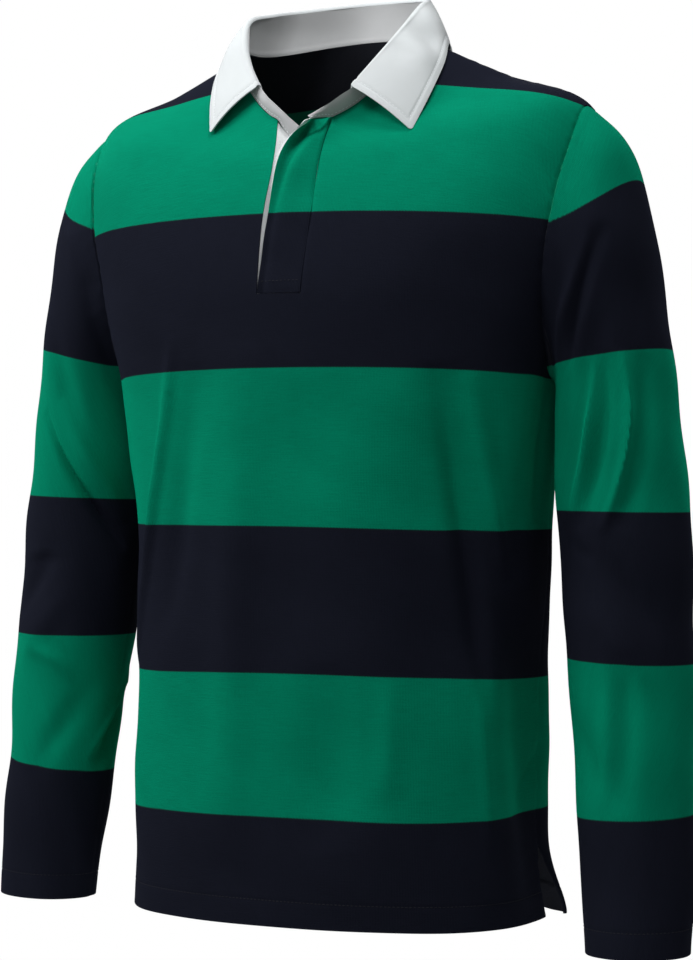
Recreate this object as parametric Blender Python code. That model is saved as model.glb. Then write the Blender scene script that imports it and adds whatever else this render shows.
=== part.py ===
"""A man's long-sleeved rugby polo shirt, size M, hollow and filled out as when it is worn.

Metres, +Z up. The front faces -Y and the wearer's left is +X. The origin is the middle of the neck opening,
level with the side neck points, where the shoulder seams meet the collar.
"""

import math

import bpy
from mathutils import Vector

# Cloth walls and the gap that is left between sewn pieces
JERSEY = 0.0018
TWILL = 0.0014
FACING = 0.0009
FACING_GAP = 0.0011
SEAM_GAP = 0.0004

# The torso as rings from the hem up to the neckline. A ring is a squared ellipse about x = 0, whose front
# half reaches forward of `shift` by `front` and whose back half reaches behind it by `back`. Its height runs
# from z_side at the sides to z_front and z_back. `rows` is the number of mesh rows up to the next ring.
TORSO_COLUMNS = (
    "name", "z_side", "z_front", "z_back", "half_width", "front", "back", "shift", "square", "rows",
)
TORSO_TABLE = (
    ("hem", -0.700, -0.698, -0.706, 0.1750, 0.130, 0.116, -0.010, 2.25, 3),
    ("low hip", -0.620, -0.620, -0.622, 0.1735, 0.128, 0.116, -0.009, 2.25, 3),
    ("waist", -0.500, -0.500, -0.500, 0.1715, 0.123, 0.112, -0.008, 2.25, 3),
    ("ribs", -0.385, -0.385, -0.385, 0.1755, 0.121, 0.112, -0.007, 2.25, 3),
    ("underarm", -0.282, -0.283, -0.281, 0.1880, 0.122, 0.116, -0.006, 2.30, 4),
    ("chest", -0.206, -0.208, -0.200, 0.2080, 0.122, 0.118, -0.006, 2.35, 4),
    ("upper chest", -0.136, -0.150, -0.125, 0.2225, 0.113, 0.112, -0.006, 2.35, 4),
    ("shoulder", -0.059, -0.108, -0.072, 0.2115, 0.101, 0.098, -0.006, 2.10, 1),
    ("mid shoulder", -0.030, -0.086, -0.028, 0.1430, 0.087, 0.081, -0.010, 2.00, 2),
    ("neckline", 0.000, -0.072, 0.016, 0.0800, 0.074, 0.070, -0.015, 2.00, 0),
)
NOTCH_BOTTOM, UNDERARM, SHOULDER, NECKLINE = 5, 4, 7, 9

# Where the side seam and the shoulder seam run, in degrees from the centre front, and how far, in degrees,
# the armhole cuts into the front and the back
SIDE_SEAM = 95.0
SHOULDER_SEAM = 90.0
ARMHOLE_FRONT_CUT = 30.0
ARMHOLE_BACK_CUT = 31.0
ARMHOLE_ROWS = 12
PANEL_COLUMNS = 12
BACK_COLUMNS = 22

# How far the wearer's left of the neckline drops below the right, where the open placket lets it fall
NECK_SAG = 0.007

# The side vents: their height, and how far the back flap's corner swings out and back
VENT_TOP = -0.640
VENT_GAP = 0.0030
VENT_FLARE_OUT = 0.010
VENT_FLARE_BACK = 0.014

# The placket opening at the rings from its sewn end to the neckline: the x of the notch's two edges and of
# the upper placket's free edge, how far that edge stands forward, and how much the strip bulges before it
OPENING_COLUMNS = ("name", "right_x", "left_x", "free_x", "lift", "bulge")
OPENING_TABLE = (
    ("sewn end", -0.0195, 0.0178, -0.0190, 0.0000, 0.0000),
    ("upper chest", -0.0192, 0.0222, -0.0163, 0.0015, 0.0015),
    ("shoulder", -0.0165, 0.0234, -0.0085, 0.0080, 0.0050),
    ("mid shoulder", -0.0180, 0.0245, -0.0004, 0.0125, 0.0080),
    ("neckline", -0.0210, 0.0262, 0.0150, 0.0140, 0.0050),
)

# The under placket: its depth below the front's surface, how far it laps behind the front's edge, how steeply
# its top edge falls, and the places of its columns across, measured from the front's edge
UNDER_DIP = 0.0068
UNDER_LAP = 0.0050
UNDER_SLOPE = 0.80
UNDER_COLUMNS = (-0.005, -0.001, 0.002, 0.005, 0.011, 0.021, 0.0315)

# How far the facing shows past the upper placket's free edge
FACING_SHOW = 0.0034

# Three buttons down the under placket, hidden by the upper one, and the ring that each one sits on
BUTTONS = (5.35, 6.20, 7.00)
BUTTON_X = 0.0030
BUTTON_RADIUS = 0.0055
BUTTON_THICKNESS = 0.0024
BUTTON_GAP = 0.0006

# The collar from the centre back to the front of its leaf, on the wearer's left and right. `angle` is the
# point of the neckline that a station is sewn to. The stand rises to the fold, and the leaf falls from it.
COLLAR_COLUMNS = ("name", "angle", "fold_x", "fold_y", "fold_z", "edge_x", "edge_y", "edge_z")
COLLAR_LEFT = (
    ("far back", 225.0, -0.0540, 0.0370, 0.0420, -0.0680, 0.0520, 0.0005),
    ("centre back", 180.0, 0.0000, 0.0585, 0.0480, 0.0000, 0.0775, 0.0040),
    ("back", 135.0, 0.0520, 0.0370, 0.0430, 0.0680, 0.0520, 0.0005),
    ("back side", 112.0, 0.0660, 0.0100, 0.0360, 0.0850, 0.0190, -0.0010),
    ("side", 90.0, 0.0710, -0.0170, 0.0260, 0.0970, -0.0150, -0.0035),
    ("front side", 68.0, 0.0680, -0.0450, 0.0050, 0.1040, -0.0430, -0.0242),
    ("front", 48.0, 0.0580, -0.0690, -0.0200, 0.1020, -0.0700, -0.0540),
    ("leaf front", 30.9, 0.0430, -0.0870, -0.0460, 0.0950, -0.0890, -0.0825),
)
COLLAR_RIGHT = (
    ("far back", 225.0, 0.0520, 0.0370, 0.0430, 0.0680, 0.0520, 0.0005),
    ("centre back", 180.0, 0.0000, 0.0585, 0.0480, 0.0000, 0.0775, 0.0040),
    ("back", 135.0, -0.0540, 0.0370, 0.0420, -0.0680, 0.0520, 0.0005),
    ("back side", 112.0, -0.0710, 0.0090, 0.0350, -0.0860, 0.0180, -0.0010),
    ("side", 90.0, -0.0770, -0.0200, 0.0260, -0.0970, -0.0200, -0.0050),
    ("front side", 68.0, -0.0690, -0.0450, 0.0050, -0.0970, -0.0440, -0.0190),
    ("front", 48.0, -0.0560, -0.0630, -0.0190, -0.0900, -0.0690, -0.0450),
    ("leaf front", 33.9, -0.0405, -0.0775, -0.0395, -0.0810, -0.0880, -0.0746),
)
LEAF_FIRST_LEFT = 2
LEAF_FIRST_RIGHT = 3

# The stand goes on past the leaf and over the top of each placket. Its top edge passes through these points,
# each with its name, x, y and z.
STAND_LEFT_TABLE = (
    ("panel 1", 0.0370, -0.0910, -0.0508),
    ("panel 0", 0.0287, -0.0945, -0.0572),
    ("placket 1", 0.0249, -0.0965, -0.0599),
    ("placket 2", 0.0224, -0.0985, -0.0620),
    ("placket 3", 0.0199, -0.1005, -0.0642),
    ("placket 4", 0.0171, -0.1020, -0.0663),
    ("placket 5", 0.0143, -0.1035, -0.0685),
)
STAND_RIGHT_TABLE = (
    ("panel 2", -0.0325, -0.0840, -0.0472),
    ("panel 1", -0.0240, -0.0875, -0.0541),
    ("panel 0", -0.0160, -0.0895, -0.0606),
    ("placket 3", -0.0105, -0.0905, -0.0650),
    ("placket 4", -0.0045, -0.0912, -0.0699),
    ("placket 5", 0.0055, -0.0915, -0.0780),
    ("placket 6", 0.0160, -0.0915, -0.0865),
)
STAND_ROWS = 2

# The leaf rolls over the fold in an arc of this radius through these angles, and falls in a few rows
LEAF_ROLL = 0.0030
LEAF_ARC = (180, 140, 100, 60, 20)
LEAF_FALL = (0.33, 0.67, 1.0)
LEAF_CROWN = 0.0020

# Each sleeve as rings from the armhole to the cuff: where the outer and the inner line of the sleeve pass,
# the middle of the ring, its half depth from front to back, and how far it has left the armhole's shape
SLEEVE_COLUMNS = (
    "name", "outer_x", "outer_z", "inner_x", "inner_z", "middle_y", "half_depth", "round", "rows",
)
SLEEVE_TABLE = (
    ("armhole", 0.2115, -0.0590, 0.1880, -0.2820, 0.0000, 0.0640, 0.00, 2),
    ("cap top", 0.2380, -0.0830, 0.1890, -0.2835, 0.0000, 0.0655, 0.30, 2),
    ("cap", 0.2520, -0.1200, 0.1890, -0.2860, -0.0010, 0.0660, 0.60, 2),
    ("upper arm", 0.2640, -0.1700, 0.1885, -0.2920, -0.0015, 0.0650, 0.85, 2),
    ("bicep", 0.2740, -0.2450, 0.1870, -0.3080, -0.0020, 0.0620, 1.00, 2),
    ("above elbow", 0.2840, -0.3120, 0.1865, -0.3400, -0.0030, 0.0580, 1.00, 2),
    ("elbow", 0.2910, -0.3780, 0.1890, -0.3860, -0.0060, 0.0550, 1.00, 2),
    ("forearm top", 0.2970, -0.4550, 0.1965, -0.4580, -0.0130, 0.0520, 1.00, 2),
    ("forearm", 0.3010, -0.5350, 0.2050, -0.5350, -0.0220, 0.0480, 1.00, 2),
    ("wrist", 0.3040, -0.6200, 0.2140, -0.6200, -0.0330, 0.0430, 1.00, 2),
    ("cuff", 0.3060, -0.7120, 0.2230, -0.7140, -0.0460, 0.0370, 1.00, 0),
)

# Below this height the wearer's right sleeve hangs a little higher and closer in, by so much at the cuff
RIGHT_SLEEVE_FROM = -0.300
RIGHT_SLEEVE_LIFT = 0.011
RIGHT_SLEEVE_IN = 0.008

# Folds, as straight runs over the surface, from one angle and height to another. A depth above 0 is a ridge
# and below 0 a trough. Sleeve angles are 0 on the outer line, 90 in front and 180 against the body.
FOLD_COLUMNS = ("name", "angle_a", "z_a", "angle_b", "z_b", "width", "depth")
TORSO_FOLDS = (
    ("left side ridge", 70.0, -0.190, 73.0, -0.420, 0.010, 0.0040),
    ("left side trough", 82.0, -0.210, 84.0, -0.420, 0.010, -0.0070),
    ("right side ridge", -71.0, -0.200, -74.0, -0.390, 0.012, 0.0030),
    ("right side trough", -83.0, -0.220, -85.0, -0.400, 0.011, -0.0060),
    ("back left trough", 150.0, -0.260, 140.0, -0.560, 0.022, -0.0050),
    ("back right trough", -148.0, -0.300, -141.0, -0.600, 0.022, -0.0050),
    ("front sweep", 38.0, -0.300, 48.0, -0.640, 0.026, -0.0040),
)
SLEEVE_FOLDS = (
    ("front upper trough", 60.0, -0.190, 118.0, -0.360, 0.013, -0.0050),
    ("elbow trough", 100.0, -0.400, 40.0, -0.480, 0.012, -0.0045),
    ("elbow ridge", 115.0, -0.440, 50.0, -0.520, 0.012, 0.0030),
    ("forearm trough", 150.0, -0.520, 85.0, -0.610, 0.012, -0.0040),
    ("back trough", -70.0, -0.330, -120.0, -0.430, 0.014, -0.0050),
)
FOLD_RADIUS = 0.12
SLEEVE_FOLD_RADIUS = 0.055

NAVY = (0.008, 0.010, 0.017)
GREEN = (0.000, 0.165, 0.090)
WHITE = (0.760, 0.790, 0.800)


def named(columns, table):
    """A table's rows as dictionaries."""
    return [dict(zip(columns, row)) for row in table]


TORSO = named(TORSO_COLUMNS, TORSO_TABLE)
SLEEVE = named(SLEEVE_COLUMNS, SLEEVE_TABLE)
COLLAR = {1: named(COLLAR_COLUMNS, COLLAR_LEFT), -1: named(COLLAR_COLUMNS, COLLAR_RIGHT)}
OPENING = named(OPENING_COLUMNS, OPENING_TABLE)


def smooth(values, t):
    """A smooth curve through evenly spaced values, at the fractional index t."""
    last = len(values) - 1
    i = min(int(t), last - 1)
    f = t - i
    b, c = values[i], values[i + 1]
    a = values[i - 1] if i > 0 else b * 2 - c
    d = values[i + 2] if i + 2 <= last else c * 2 - b
    return (b * 2 + (c - a) * f + (a * 2 - b * 5 + c * 4 - d) * f**2 + (b * 3 - a - c * 3 + d) * f**3) * 0.5


def section(table, t):
    """Every number of a table's rows, interpolated at the fractional row t."""
    keys = [key for key, value in table[0].items() if not isinstance(value, str)]
    return {key: smooth([row[key] for row in table], t) for key in keys}


def ease(share):
    """0 to 1 with no slope at either end."""
    share = min(1.0, max(0.0, share))
    return share * share * (3 - 2 * share)


def fold_depth(table, angle, z, radius):
    """How far the folds of a table raise the surface at this angle, in degrees, and height."""
    total = 0.0
    for fold in named(FOLD_COLUMNS, table):
        metres = math.radians(1) * radius
        run = Vector(((fold["angle_b"] - fold["angle_a"]) * metres, fold["z_b"] - fold["z_a"]))
        to = Vector(((angle - fold["angle_a"]) * metres, z - fold["z_a"]))
        along = to.dot(run) / run.length_squared
        across = (to - run * along).length / fold["width"]
        if 0 < along < 1 and across < 3:
            total += fold["depth"] * math.sin(math.pi * along) ** 1.5 * math.exp(-across * across)
    return total


def torso_surface(t, angle):
    """The shirt body's outer surface at ring t and an angle in degrees from the centre front."""
    ring = section(TORSO, t)
    s, c = math.sin(math.radians(angle)), math.cos(math.radians(angle))
    power = 2 / ring["square"]
    reach, end = (ring["front"], ring["z_front"]) if c > 0 else (ring["back"], ring["z_back"])
    z = ring["z_side"] + (end - ring["z_side"]) * c * c
    if t > SHOULDER and 0 < angle < 90:
        z -= NECK_SAG * ease((t - SHOULDER) / (NECKLINE - SHOULDER)) * (2 * s * c) ** 2
    x = math.copysign(abs(s) ** power, s) * ring["half_width"]
    y = ring["shift"] - math.copysign(abs(c) ** power, c) * reach
    out = Vector((x / ring["half_width"] ** 2, (y - ring["shift"]) / reach**2, 0)).normalized()
    return Vector((x, y, z)) + out * fold_depth(TORSO_FOLDS, angle, z, FOLD_RADIUS)


def torso_point(t, angle, inward=0.0):
    """A point of the shirt body's surface, moved inward square to it."""
    point = torso_surface(t, angle)
    if inward == 0:
        return point
    up = torso_surface(t + 0.02, angle) - torso_surface(t - 0.02, angle)
    along = torso_surface(t, angle + 0.5) - torso_surface(t, angle - 0.5)
    return point - along.cross(up).normalized() * inward


def angle_at(t, x):
    """The angle at which ring t's front passes this x."""
    ring = section(TORSO, t)
    share = abs(x) / ring["half_width"]
    return math.copysign(math.degrees(math.asin(share ** (ring["square"] / 2))), x)


def seam_angle(t):
    """The side seam up to the underarm, then the armhole's middle, and the shoulder seam from its top."""
    share = ease((t - UNDERARM) / (SHOULDER - UNDERARM))
    return SIDE_SEAM + (SHOULDER_SEAM - SIDE_SEAM) * share


def armhole_share(t):
    """1 where the armhole is widest and 0 at its ends and outside it."""
    share = (t - UNDERARM) / (SHOULDER - UNDERARM)
    return math.sin(math.pi * share) ** 0.5 if 0 < share < 1 else 0.0


def front_edge(t, gap):
    """The angle where the front ends at ring t: its side seam, its armhole or its shoulder seam."""
    return seam_angle(t) - ARMHOLE_FRONT_CUT * armhole_share(t) - math.degrees(gap / 0.15)


def back_edge(t, gap):
    """The angle where the back begins at ring t."""
    return seam_angle(t) + ARMHOLE_BACK_CUT * armhole_share(t) + math.degrees(gap / 0.15)


def ring_steps(first, last):
    """The fractional rings of a panel's rows. They crowd together towards both ends of the armhole."""
    steps = []
    for i in range(first, last):
        if UNDERARM <= i < SHOULDER:
            continue
        steps += [i + k / TORSO[i]["rows"] for k in range(TORSO[i]["rows"])]
        if i + 1 == UNDERARM:
            steps += armhole_steps()[:-1]
    return steps + [last]


def armhole_steps():
    """The fractional rings from the underarm to the shoulder point, with one on the notch's bottom."""
    span = SHOULDER - UNDERARM
    turns = [math.pi * k / ARMHOLE_ROWS for k in range(ARMHOLE_ROWS + 1)]
    steps = [UNDERARM + span * (1 - math.cos(turn)) / 2 for turn in turns]
    nearest = min(range(len(steps)), key=lambda k: abs(steps[k] - NOTCH_BOTTOM))
    steps[nearest] = float(NOTCH_BOTTOM)
    return steps


def opening(t):
    """The placket opening's numbers at ring t."""
    return section(OPENING, max(0.0, t - NOTCH_BOTTOM))


def make_wall(name, outer, inner, colour, closed=False):
    """A closed cloth wall between two grids of points. A place may be empty, and closed rows are rings."""
    index, points = {}, []
    for i, row in enumerate(outer):
        for j, point in enumerate(row):
            if point is not None:
                index[i, j] = len(points)
                points.append(point)
    count = len(points)
    points += [point for row in inner for point in row if point is not None]
    faces = []
    for i in range(len(outer) - 1):
        width = len(outer[i])
        for j in range(width if closed else width - 1):
            k = (j + 1) % width
            corners = [(i, j), (i, k), (i + 1, k), (i + 1, j)]
            if all(corner in index for corner in corners):
                p, q, r, u = (index[corner] for corner in corners)
                if (points[p] - points[r]).length < (points[q] - points[u]).length:
                    faces += [(p, q, r), (p, r, u)]
                else:
                    faces += [(p, q, u), (q, r, u)]
    a, b, c = (points[i] for i in faces[0][:3])
    if (b - a).cross(c - a).dot(a - points[faces[0][0] + count]) < 0:
        faces = [face[::-1] for face in faces]
    edges = [(face[k - 1], face[k]) for face in faces for k in range(3)]
    once = set(edges)
    rim = [(b, a, a + count, b + count) for a, b in edges if (b, a) not in once]
    back = [tuple(i + count for i in reversed(face)) for face in faces]
    mesh = bpy.data.meshes.new(name)
    mesh.from_pydata(points, [], faces + back + rim)
    mesh.update()
    mesh.materials.append(material(name, colour))
    wall = bpy.data.objects.new(name, mesh)
    bpy.context.scene.collection.objects.link(wall)


def moved_in(grid, depth, closed=False):
    """A grid of points moved square to its surface, along the product of its row and column directions."""
    moved = []
    for i, row in enumerate(grid):
        above, below = grid[min(i + 1, len(grid) - 1)], grid[max(i - 1, 0)]
        line = []
        for j, point in enumerate(row):
            after = row[(j + 1) % len(row)] if closed else row[min(j + 1, len(row) - 1)]
            before = row[j - 1] if closed else row[max(j - 1, 0)]
            line.append(point + (after - before).cross(above[j] - below[j]).normalized() * depth)
        moved.append(line)
    return moved


def material(name, colour):
    """A plain dull material."""
    made = bpy.data.materials.new(name)
    made.use_nodes = True
    shader = made.node_tree.nodes["Principled BSDF"]
    shader.inputs["Base Color"].default_value = (*colour, 1)
    shader.inputs["Roughness"].default_value = 0.85
    shader.inputs["Metallic"].default_value = 0.0
    return made


def flared(point, t, side_seam_distance):
    """A point of the back's hem, swung out and back near the side vent."""
    drop = ease((VENT_TOP - point.z) / (VENT_TOP - TORSO[0]["z_side"]))
    near = math.exp(-((side_seam_distance / 0.035) ** 2))
    way = 1 if point.x > 0 else -1
    return point + Vector((way * VENT_FLARE_OUT, VENT_FLARE_BACK, 0)) * drop * near


def vent_gap(t):
    """Half the space between front and back at the side seam: the sewing gap, wider in the vent."""
    z = section(TORSO, t)["z_side"]
    return SEAM_GAP / 2 + VENT_GAP * ease((VENT_TOP - z) / 0.02)


def make_front():
    """The front, cut out at its armholes, along its neckline and for the placket."""
    layers = []
    for inward in (0.0, JERSEY):
        grid = []
        for t in ring_steps(0, NECKLINE):
            end = front_edge(t, vent_gap(t))
            right, left = angle_at(t, opening(t)["right_x"]), angle_at(t, opening(t)["left_x"])
            shares = [j / PANEL_COLUMNS for j in range(PANEL_COLUMNS + 1)]
            row = [torso_point(t, -end + (right + end) * share, inward) for share in shares]
            row.append(None if t > NOTCH_BOTTOM else torso_point(t, (right + left) / 2, inward))
            row += [torso_point(t, left + (end - left) * share, inward) for share in shares]
            grid.append(row)
        layers.append(grid)
    make_wall("front", *layers, NAVY)


def make_back():
    """The back, whose hem flares a little beside the vents."""
    layers = []
    for inward in (0.0, JERSEY):
        grid = []
        for t in ring_steps(0, NECKLINE):
            edge = back_edge(t, vent_gap(t))
            row = []
            for j in range(BACK_COLUMNS + 1):
                angle = edge + (360 - 2 * edge) * j / BACK_COLUMNS
                point = torso_point(t, angle if angle <= 180 else angle - 360, inward)
                near = math.radians(min(angle - edge, 360 - edge - angle)) * TORSO[0]["half_width"]
                row.append(flared(point, t, near))
            grid.append(row)
        layers.append(grid)
    make_wall("back", *layers, NAVY)


def armhole_loop(side, inward):
    """An armhole from the shoulder point down the front and up the back. The right one comes mirrored."""
    steps = armhole_steps()
    squeeze = SEAM_GAP / (TORSO[SHOULDER]["z_side"] - TORSO[UNDERARM]["z_side"]) * (steps[-1] - steps[0])
    front, back = [], []
    for t in steps:
        s = min(max(t, steps[0] + squeeze), steps[-1] - squeeze)
        at_end = t in (steps[0], steps[-1])
        front_angle = seam_angle(t) if at_end else front_edge(t, -SEAM_GAP / 2)
        back_angle = seam_angle(t) if at_end else back_edge(t, -SEAM_GAP / 2)
        front.append(torso_point(s, side * front_angle, inward))
        back.append(torso_point(s, side * back_angle, inward))
    return [Vector((point.x * side, point.y, point.z)) for point in front[::-1] + back[1:-1]]


def sleeve_grid(side):
    """A sleeve as rings from the armhole to the cuff, as if it were on the wearer's left."""
    loop = armhole_loop(side, 0.0)
    count = len(loop)
    tip, under = loop[0], loop[count // 2]
    middle, half = (tip + under) / 2, (tip - under) / 2
    turned = Vector((-half.z, 0, half.x)).normalized()
    local = []
    for point in loop:
        to = point - middle
        local.append((to.dot(half) / half.length_squared, to.y, to.dot(turned)))
    grid = [loop]
    for i in range(len(SLEEVE) - 1):
        for k in range(1, SLEEVE[i]["rows"] + 1):
            grid.append(sleeve_ring(section(SLEEVE, i + k / SLEEVE[i]["rows"]), local))
    return grid


def sleeve_ring(ring, local):
    """One ring of the sleeve, between the armhole's shape and an ellipse."""
    outer = Vector((ring["outer_x"], ring["middle_y"], ring["outer_z"]))
    inner = Vector((ring["inner_x"], ring["middle_y"], ring["inner_z"]))
    centre, half = (outer + inner) / 2, (outer - inner) / 2
    turned = Vector((-half.z, 0, half.x)).normalized()
    blend = ease(ring["round"])
    points = []
    for j, (u, y, w) in enumerate(local):
        angle = 2 * math.pi * j / len(local)
        u = u + (math.cos(angle) - u) * blend
        y = y + (-math.sin(angle) * ring["half_depth"] - y) * blend
        point = centre + half * u + Vector((0, y, 0)) + turned * (w * (1 - blend))
        degrees = math.degrees(angle)
        around = degrees if degrees <= 180 else degrees - 360
        out = (point - centre).normalized()
        points.append(point + out * fold_depth(SLEEVE_FOLDS, around, point.z, SLEEVE_FOLD_RADIUS))
    return points


def make_sleeve(name, side):
    """A set-in sleeve, on the wearer's left where side is 1 and on the right where it is -1."""
    outer = sleeve_grid(side)
    inner = [armhole_loop(side, JERSEY)] + moved_in(outer, -JERSEY, closed=True)[1:]
    layers = []
    for grid in (outer, inner):
        layers.append([[placed_on(point, side) for point in ring] for ring in grid])
    make_wall(name, *layers, NAVY, closed=True)


def placed_on(point, side):
    """A point of the left sleeve, or its mirror image on the right, lifted and drawn in towards the cuff."""
    if side > 0:
        return point
    share = max(0.0, (RIGHT_SLEEVE_FROM - point.z) / (RIGHT_SLEEVE_FROM - SLEEVE[-1]["outer_z"]))
    return Vector((-point.x + RIGHT_SLEEVE_IN * share, point.y, point.z + RIGHT_SLEEVE_LIFT * share))


def placket_steps():
    """The fractional rings of the placket, from just above the notch's bottom to the neckline."""
    steps = [t for t in ring_steps(0, NECKLINE) if t >= NOTCH_BOTTOM]
    return [steps[0] + 0.006] + steps[1:]


def under_steps():
    """The same rings for the under placket, which stops just short of the neckline."""
    return placket_steps()[:-1] + [NECKLINE - 0.05]


def upper_section(t):
    """The upper placket across, from its seam on the wearer's left to its free edge."""
    shape = opening(t)
    seam = torso_point(t, angle_at(t, shape["left_x"] - SEAM_GAP))
    free = torso_point(t, angle_at(t, shape["free_x"])) + Vector((0, -shape["lift"], 0))
    control = (seam + free) / 2 + Vector((-0.5 * shape["bulge"], -shape["bulge"], 0))
    points = []
    for j in range(6):
        f = j / 5
        points.append(seam * (1 - f) ** 2 + control * (2 * f * (1 - f)) + free * f * f)
    return points


def make_upper_placket():
    """The placket that lies on top, and the white twill facing on its inner side."""
    steps = placket_steps()
    upper = [upper_section(t) for t in steps]
    make_wall("placket_upper", upper, moved_in(upper, TWILL), GREEN)
    layers = []
    for depth in (TWILL + FACING_GAP, TWILL + FACING_GAP + FACING):
        grid = moved_in(upper, depth)
        for t, row, line in zip(steps, upper, grid):
            line[-1] += (row[-1] - row[-2]).normalized() * FACING_SHOW * ease((t - NOTCH_BOTTOM) / 2)
        layers.append(grid)
    make_wall("placket_facing", *layers, WHITE)


def under_point(t, x, inward=0.0):
    """The under placket's outer face: behind the front's edge, and deeper where the upper placket lies."""
    edge = opening(t)["right_x"]
    lap = JERSEY + SEAM_GAP
    depth = lap + (UNDER_DIP - lap) * ease((x - edge + 0.001) / 0.005)
    drop = UNDER_SLOPE * max(0.0, x - edge) * ease((t - 6) / 3)
    return torso_point(t, angle_at(t, x), depth + inward) - Vector((0, 0, drop))


def under_columns(t):
    """The x of the under placket's columns, from its lap behind the front to its own free edge."""
    return [opening(t)["right_x"] + place for place in UNDER_COLUMNS]


def make_under_placket():
    """The white placket that is sewn to the wearer's right edge and lies underneath."""
    layers = []
    for inward in (0.0, TWILL):
        layers.append([[under_point(t, x, inward) for x in under_columns(t)] for t in under_steps()])
    make_wall("placket_under", *layers, WHITE)


def make_buttons():
    """The small rubber buttons on the under placket."""
    for number, t in enumerate(BUTTONS, 1):
        face = under_point(t, BUTTON_X)
        beside, above = under_point(t, BUTTON_X + 0.004), under_point(t + 0.05, BUTTON_X)
        normal = (beside - face).cross(above - face).normalized()
        bpy.ops.mesh.primitive_cylinder_add(vertices=16, radius=BUTTON_RADIUS, depth=BUTTON_THICKNESS)
        button = bpy.context.object
        button.name = f"button_{number}"
        button.location = face + normal * (BUTTON_GAP + BUTTON_THICKNESS / 2)
        button.rotation_mode = "QUATERNION"
        button.rotation_quaternion = normal.to_track_quat("Z", "Y")
        button.data.materials.append(material(button.name, WHITE))


def neck_angles():
    """The angles of the panels' columns along the neckline, from the right placket edge round to the left."""
    shape = opening(NECKLINE)
    right, left = angle_at(NECKLINE, shape["right_x"]), angle_at(NECKLINE, shape["left_x"])
    shares = [j / PANEL_COLUMNS for j in range(PANEL_COLUMNS + 1)]
    first = [right + (-SHOULDER_SEAM - right) * share for share in shares]
    behind = 360 - 2 * SHOULDER_SEAM
    back = [-SHOULDER_SEAM - behind * j / BACK_COLUMNS for j in range(1, BACK_COLUMNS)]
    last = [SHOULDER_SEAM + (left - SHOULDER_SEAM) * share for share in shares]
    return first + [angle if angle > -180 else angle + 360 for angle in back] + last


def collar_row(angle):
    """The collar's fold and edge above this point of the neckline."""
    table = COLLAR[1 if angle > 0 else -1]
    around = abs(angle)
    i = 1
    while i < len(table) - 2 and table[i + 1]["angle"] > around:
        i += 1
    share = (table[i]["angle"] - around) / (table[i]["angle"] - table[i + 1]["angle"])
    row = section(table, i + share)
    fold = Vector((row["fold_x"], row["fold_y"], row["fold_z"]))
    edge = Vector((row["edge_x"], row["edge_y"], row["edge_z"]))
    return fold, edge


def neck_out(angle):
    """The level direction that points out of the neck opening at this angle."""
    ring = section(TORSO, NECKLINE)
    turn = math.radians(angle)
    return Vector((math.sin(turn) * ring["front"], -math.cos(turn) * ring["half_width"], 0)).normalized()


def stand_pairs():
    """The stand's sewn edge, top edge and outward direction, from its right end round to its left one."""
    lift = Vector((0, 0, SEAM_GAP))
    forward = Vector((0, -1, 0))
    angles = neck_angles()
    tops = [Vector(row[1:]) for row in STAND_RIGHT_TABLE][::-1]
    top = under_steps()[-1]
    pairs = []
    for x in under_columns(top)[:2:-1]:
        pairs.append((under_point(top, x) + lift, tops[len(pairs)], forward))
    for j, angle in enumerate(angles):
        seam = torso_point(NECKLINE + 0.007, angle)
        if j < LEAF_FIRST_RIGHT:
            pairs.append((seam, tops[len(pairs)], neck_out(angle)))
        elif j < len(angles) - LEAF_FIRST_LEFT:
            pairs.append((seam, collar_row(angle)[0], neck_out(angle)))
        else:
            end = STAND_LEFT_TABLE[j - len(angles) + LEAF_FIRST_LEFT]
            pairs.append((seam, Vector(end[1:]), neck_out(angle)))
    upper = [upper_section(t) for t in placket_steps()]
    behind = moved_in(upper, 1.0)[-1]
    ends = STAND_LEFT_TABLE[LEAF_FIRST_LEFT:]
    for point, inner, end in zip(upper[-1][1:], behind[1:], ends):
        pairs.append((point + lift, Vector(end[1:]), point - inner))
    return pairs


def make_stand():
    """The collar stand, from its end on the under placket round the neck to its end on the upper placket."""
    layers = []
    for inward in (0.0, TWILL):
        grid = []
        for k in range(STAND_ROWS + 1):
            share = k / STAND_ROWS
            grid.append([seam + (fold - seam) * share - out * inward for seam, fold, out in stand_pairs()])
        layers.append(grid)
    make_wall("collar_stand", *layers, WHITE)


def make_leaf():
    """The collar leaf, which rolls over at the fold and falls to its edge and its two points."""
    angles = neck_angles()
    up = Vector((0, 0, 1))
    turns = [math.radians(turn) for turn in LEAF_ARC]
    columns, unders = [], []
    for angle in angles[LEAF_FIRST_RIGHT: len(angles) - LEAF_FIRST_LEFT]:
        fold, edge = collar_row(angle)
        out = neck_out(angle)
        centre = fold + out * (LEAF_ROLL - TWILL) + up * SEAM_GAP
        line = [centre + (out * math.cos(turn) + up * math.sin(turn)) * LEAF_ROLL for turn in turns]
        over = line[-1]
        line += [over + (edge - over) * f + (out + up) * LEAF_CROWN * 4 * f * (1 - f) for f in LEAF_FALL]
        columns.append(line)
        unders.append(fold + up * SEAM_GAP)
    visible = [list(row) for row in zip(*columns)]
    make_wall("collar_leaf", visible, [unders] + moved_in(visible, -TWILL)[1:], WHITE)


def main():
    """Build every piece in an empty scene."""
    for obj in list(bpy.data.objects):
        bpy.data.objects.remove(obj)
    make_front()
    make_back()
    make_sleeve("sleeve_left", 1)
    make_sleeve("sleeve_right", -1)
    make_upper_placket()
    make_under_placket()
    make_buttons()
    make_stand()
    make_leaf()


main()
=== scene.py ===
"""The looks of a long-sleeved rugby polo shirt, size M, filled out as when it is worn.

Each cloth piece is a thin shell on the form of its solid, with the main creases placed one by one. Metres,
+Z up. The front faces -Y and the wearer's left is +X. The origin is the middle of the neck opening.
"""

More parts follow.
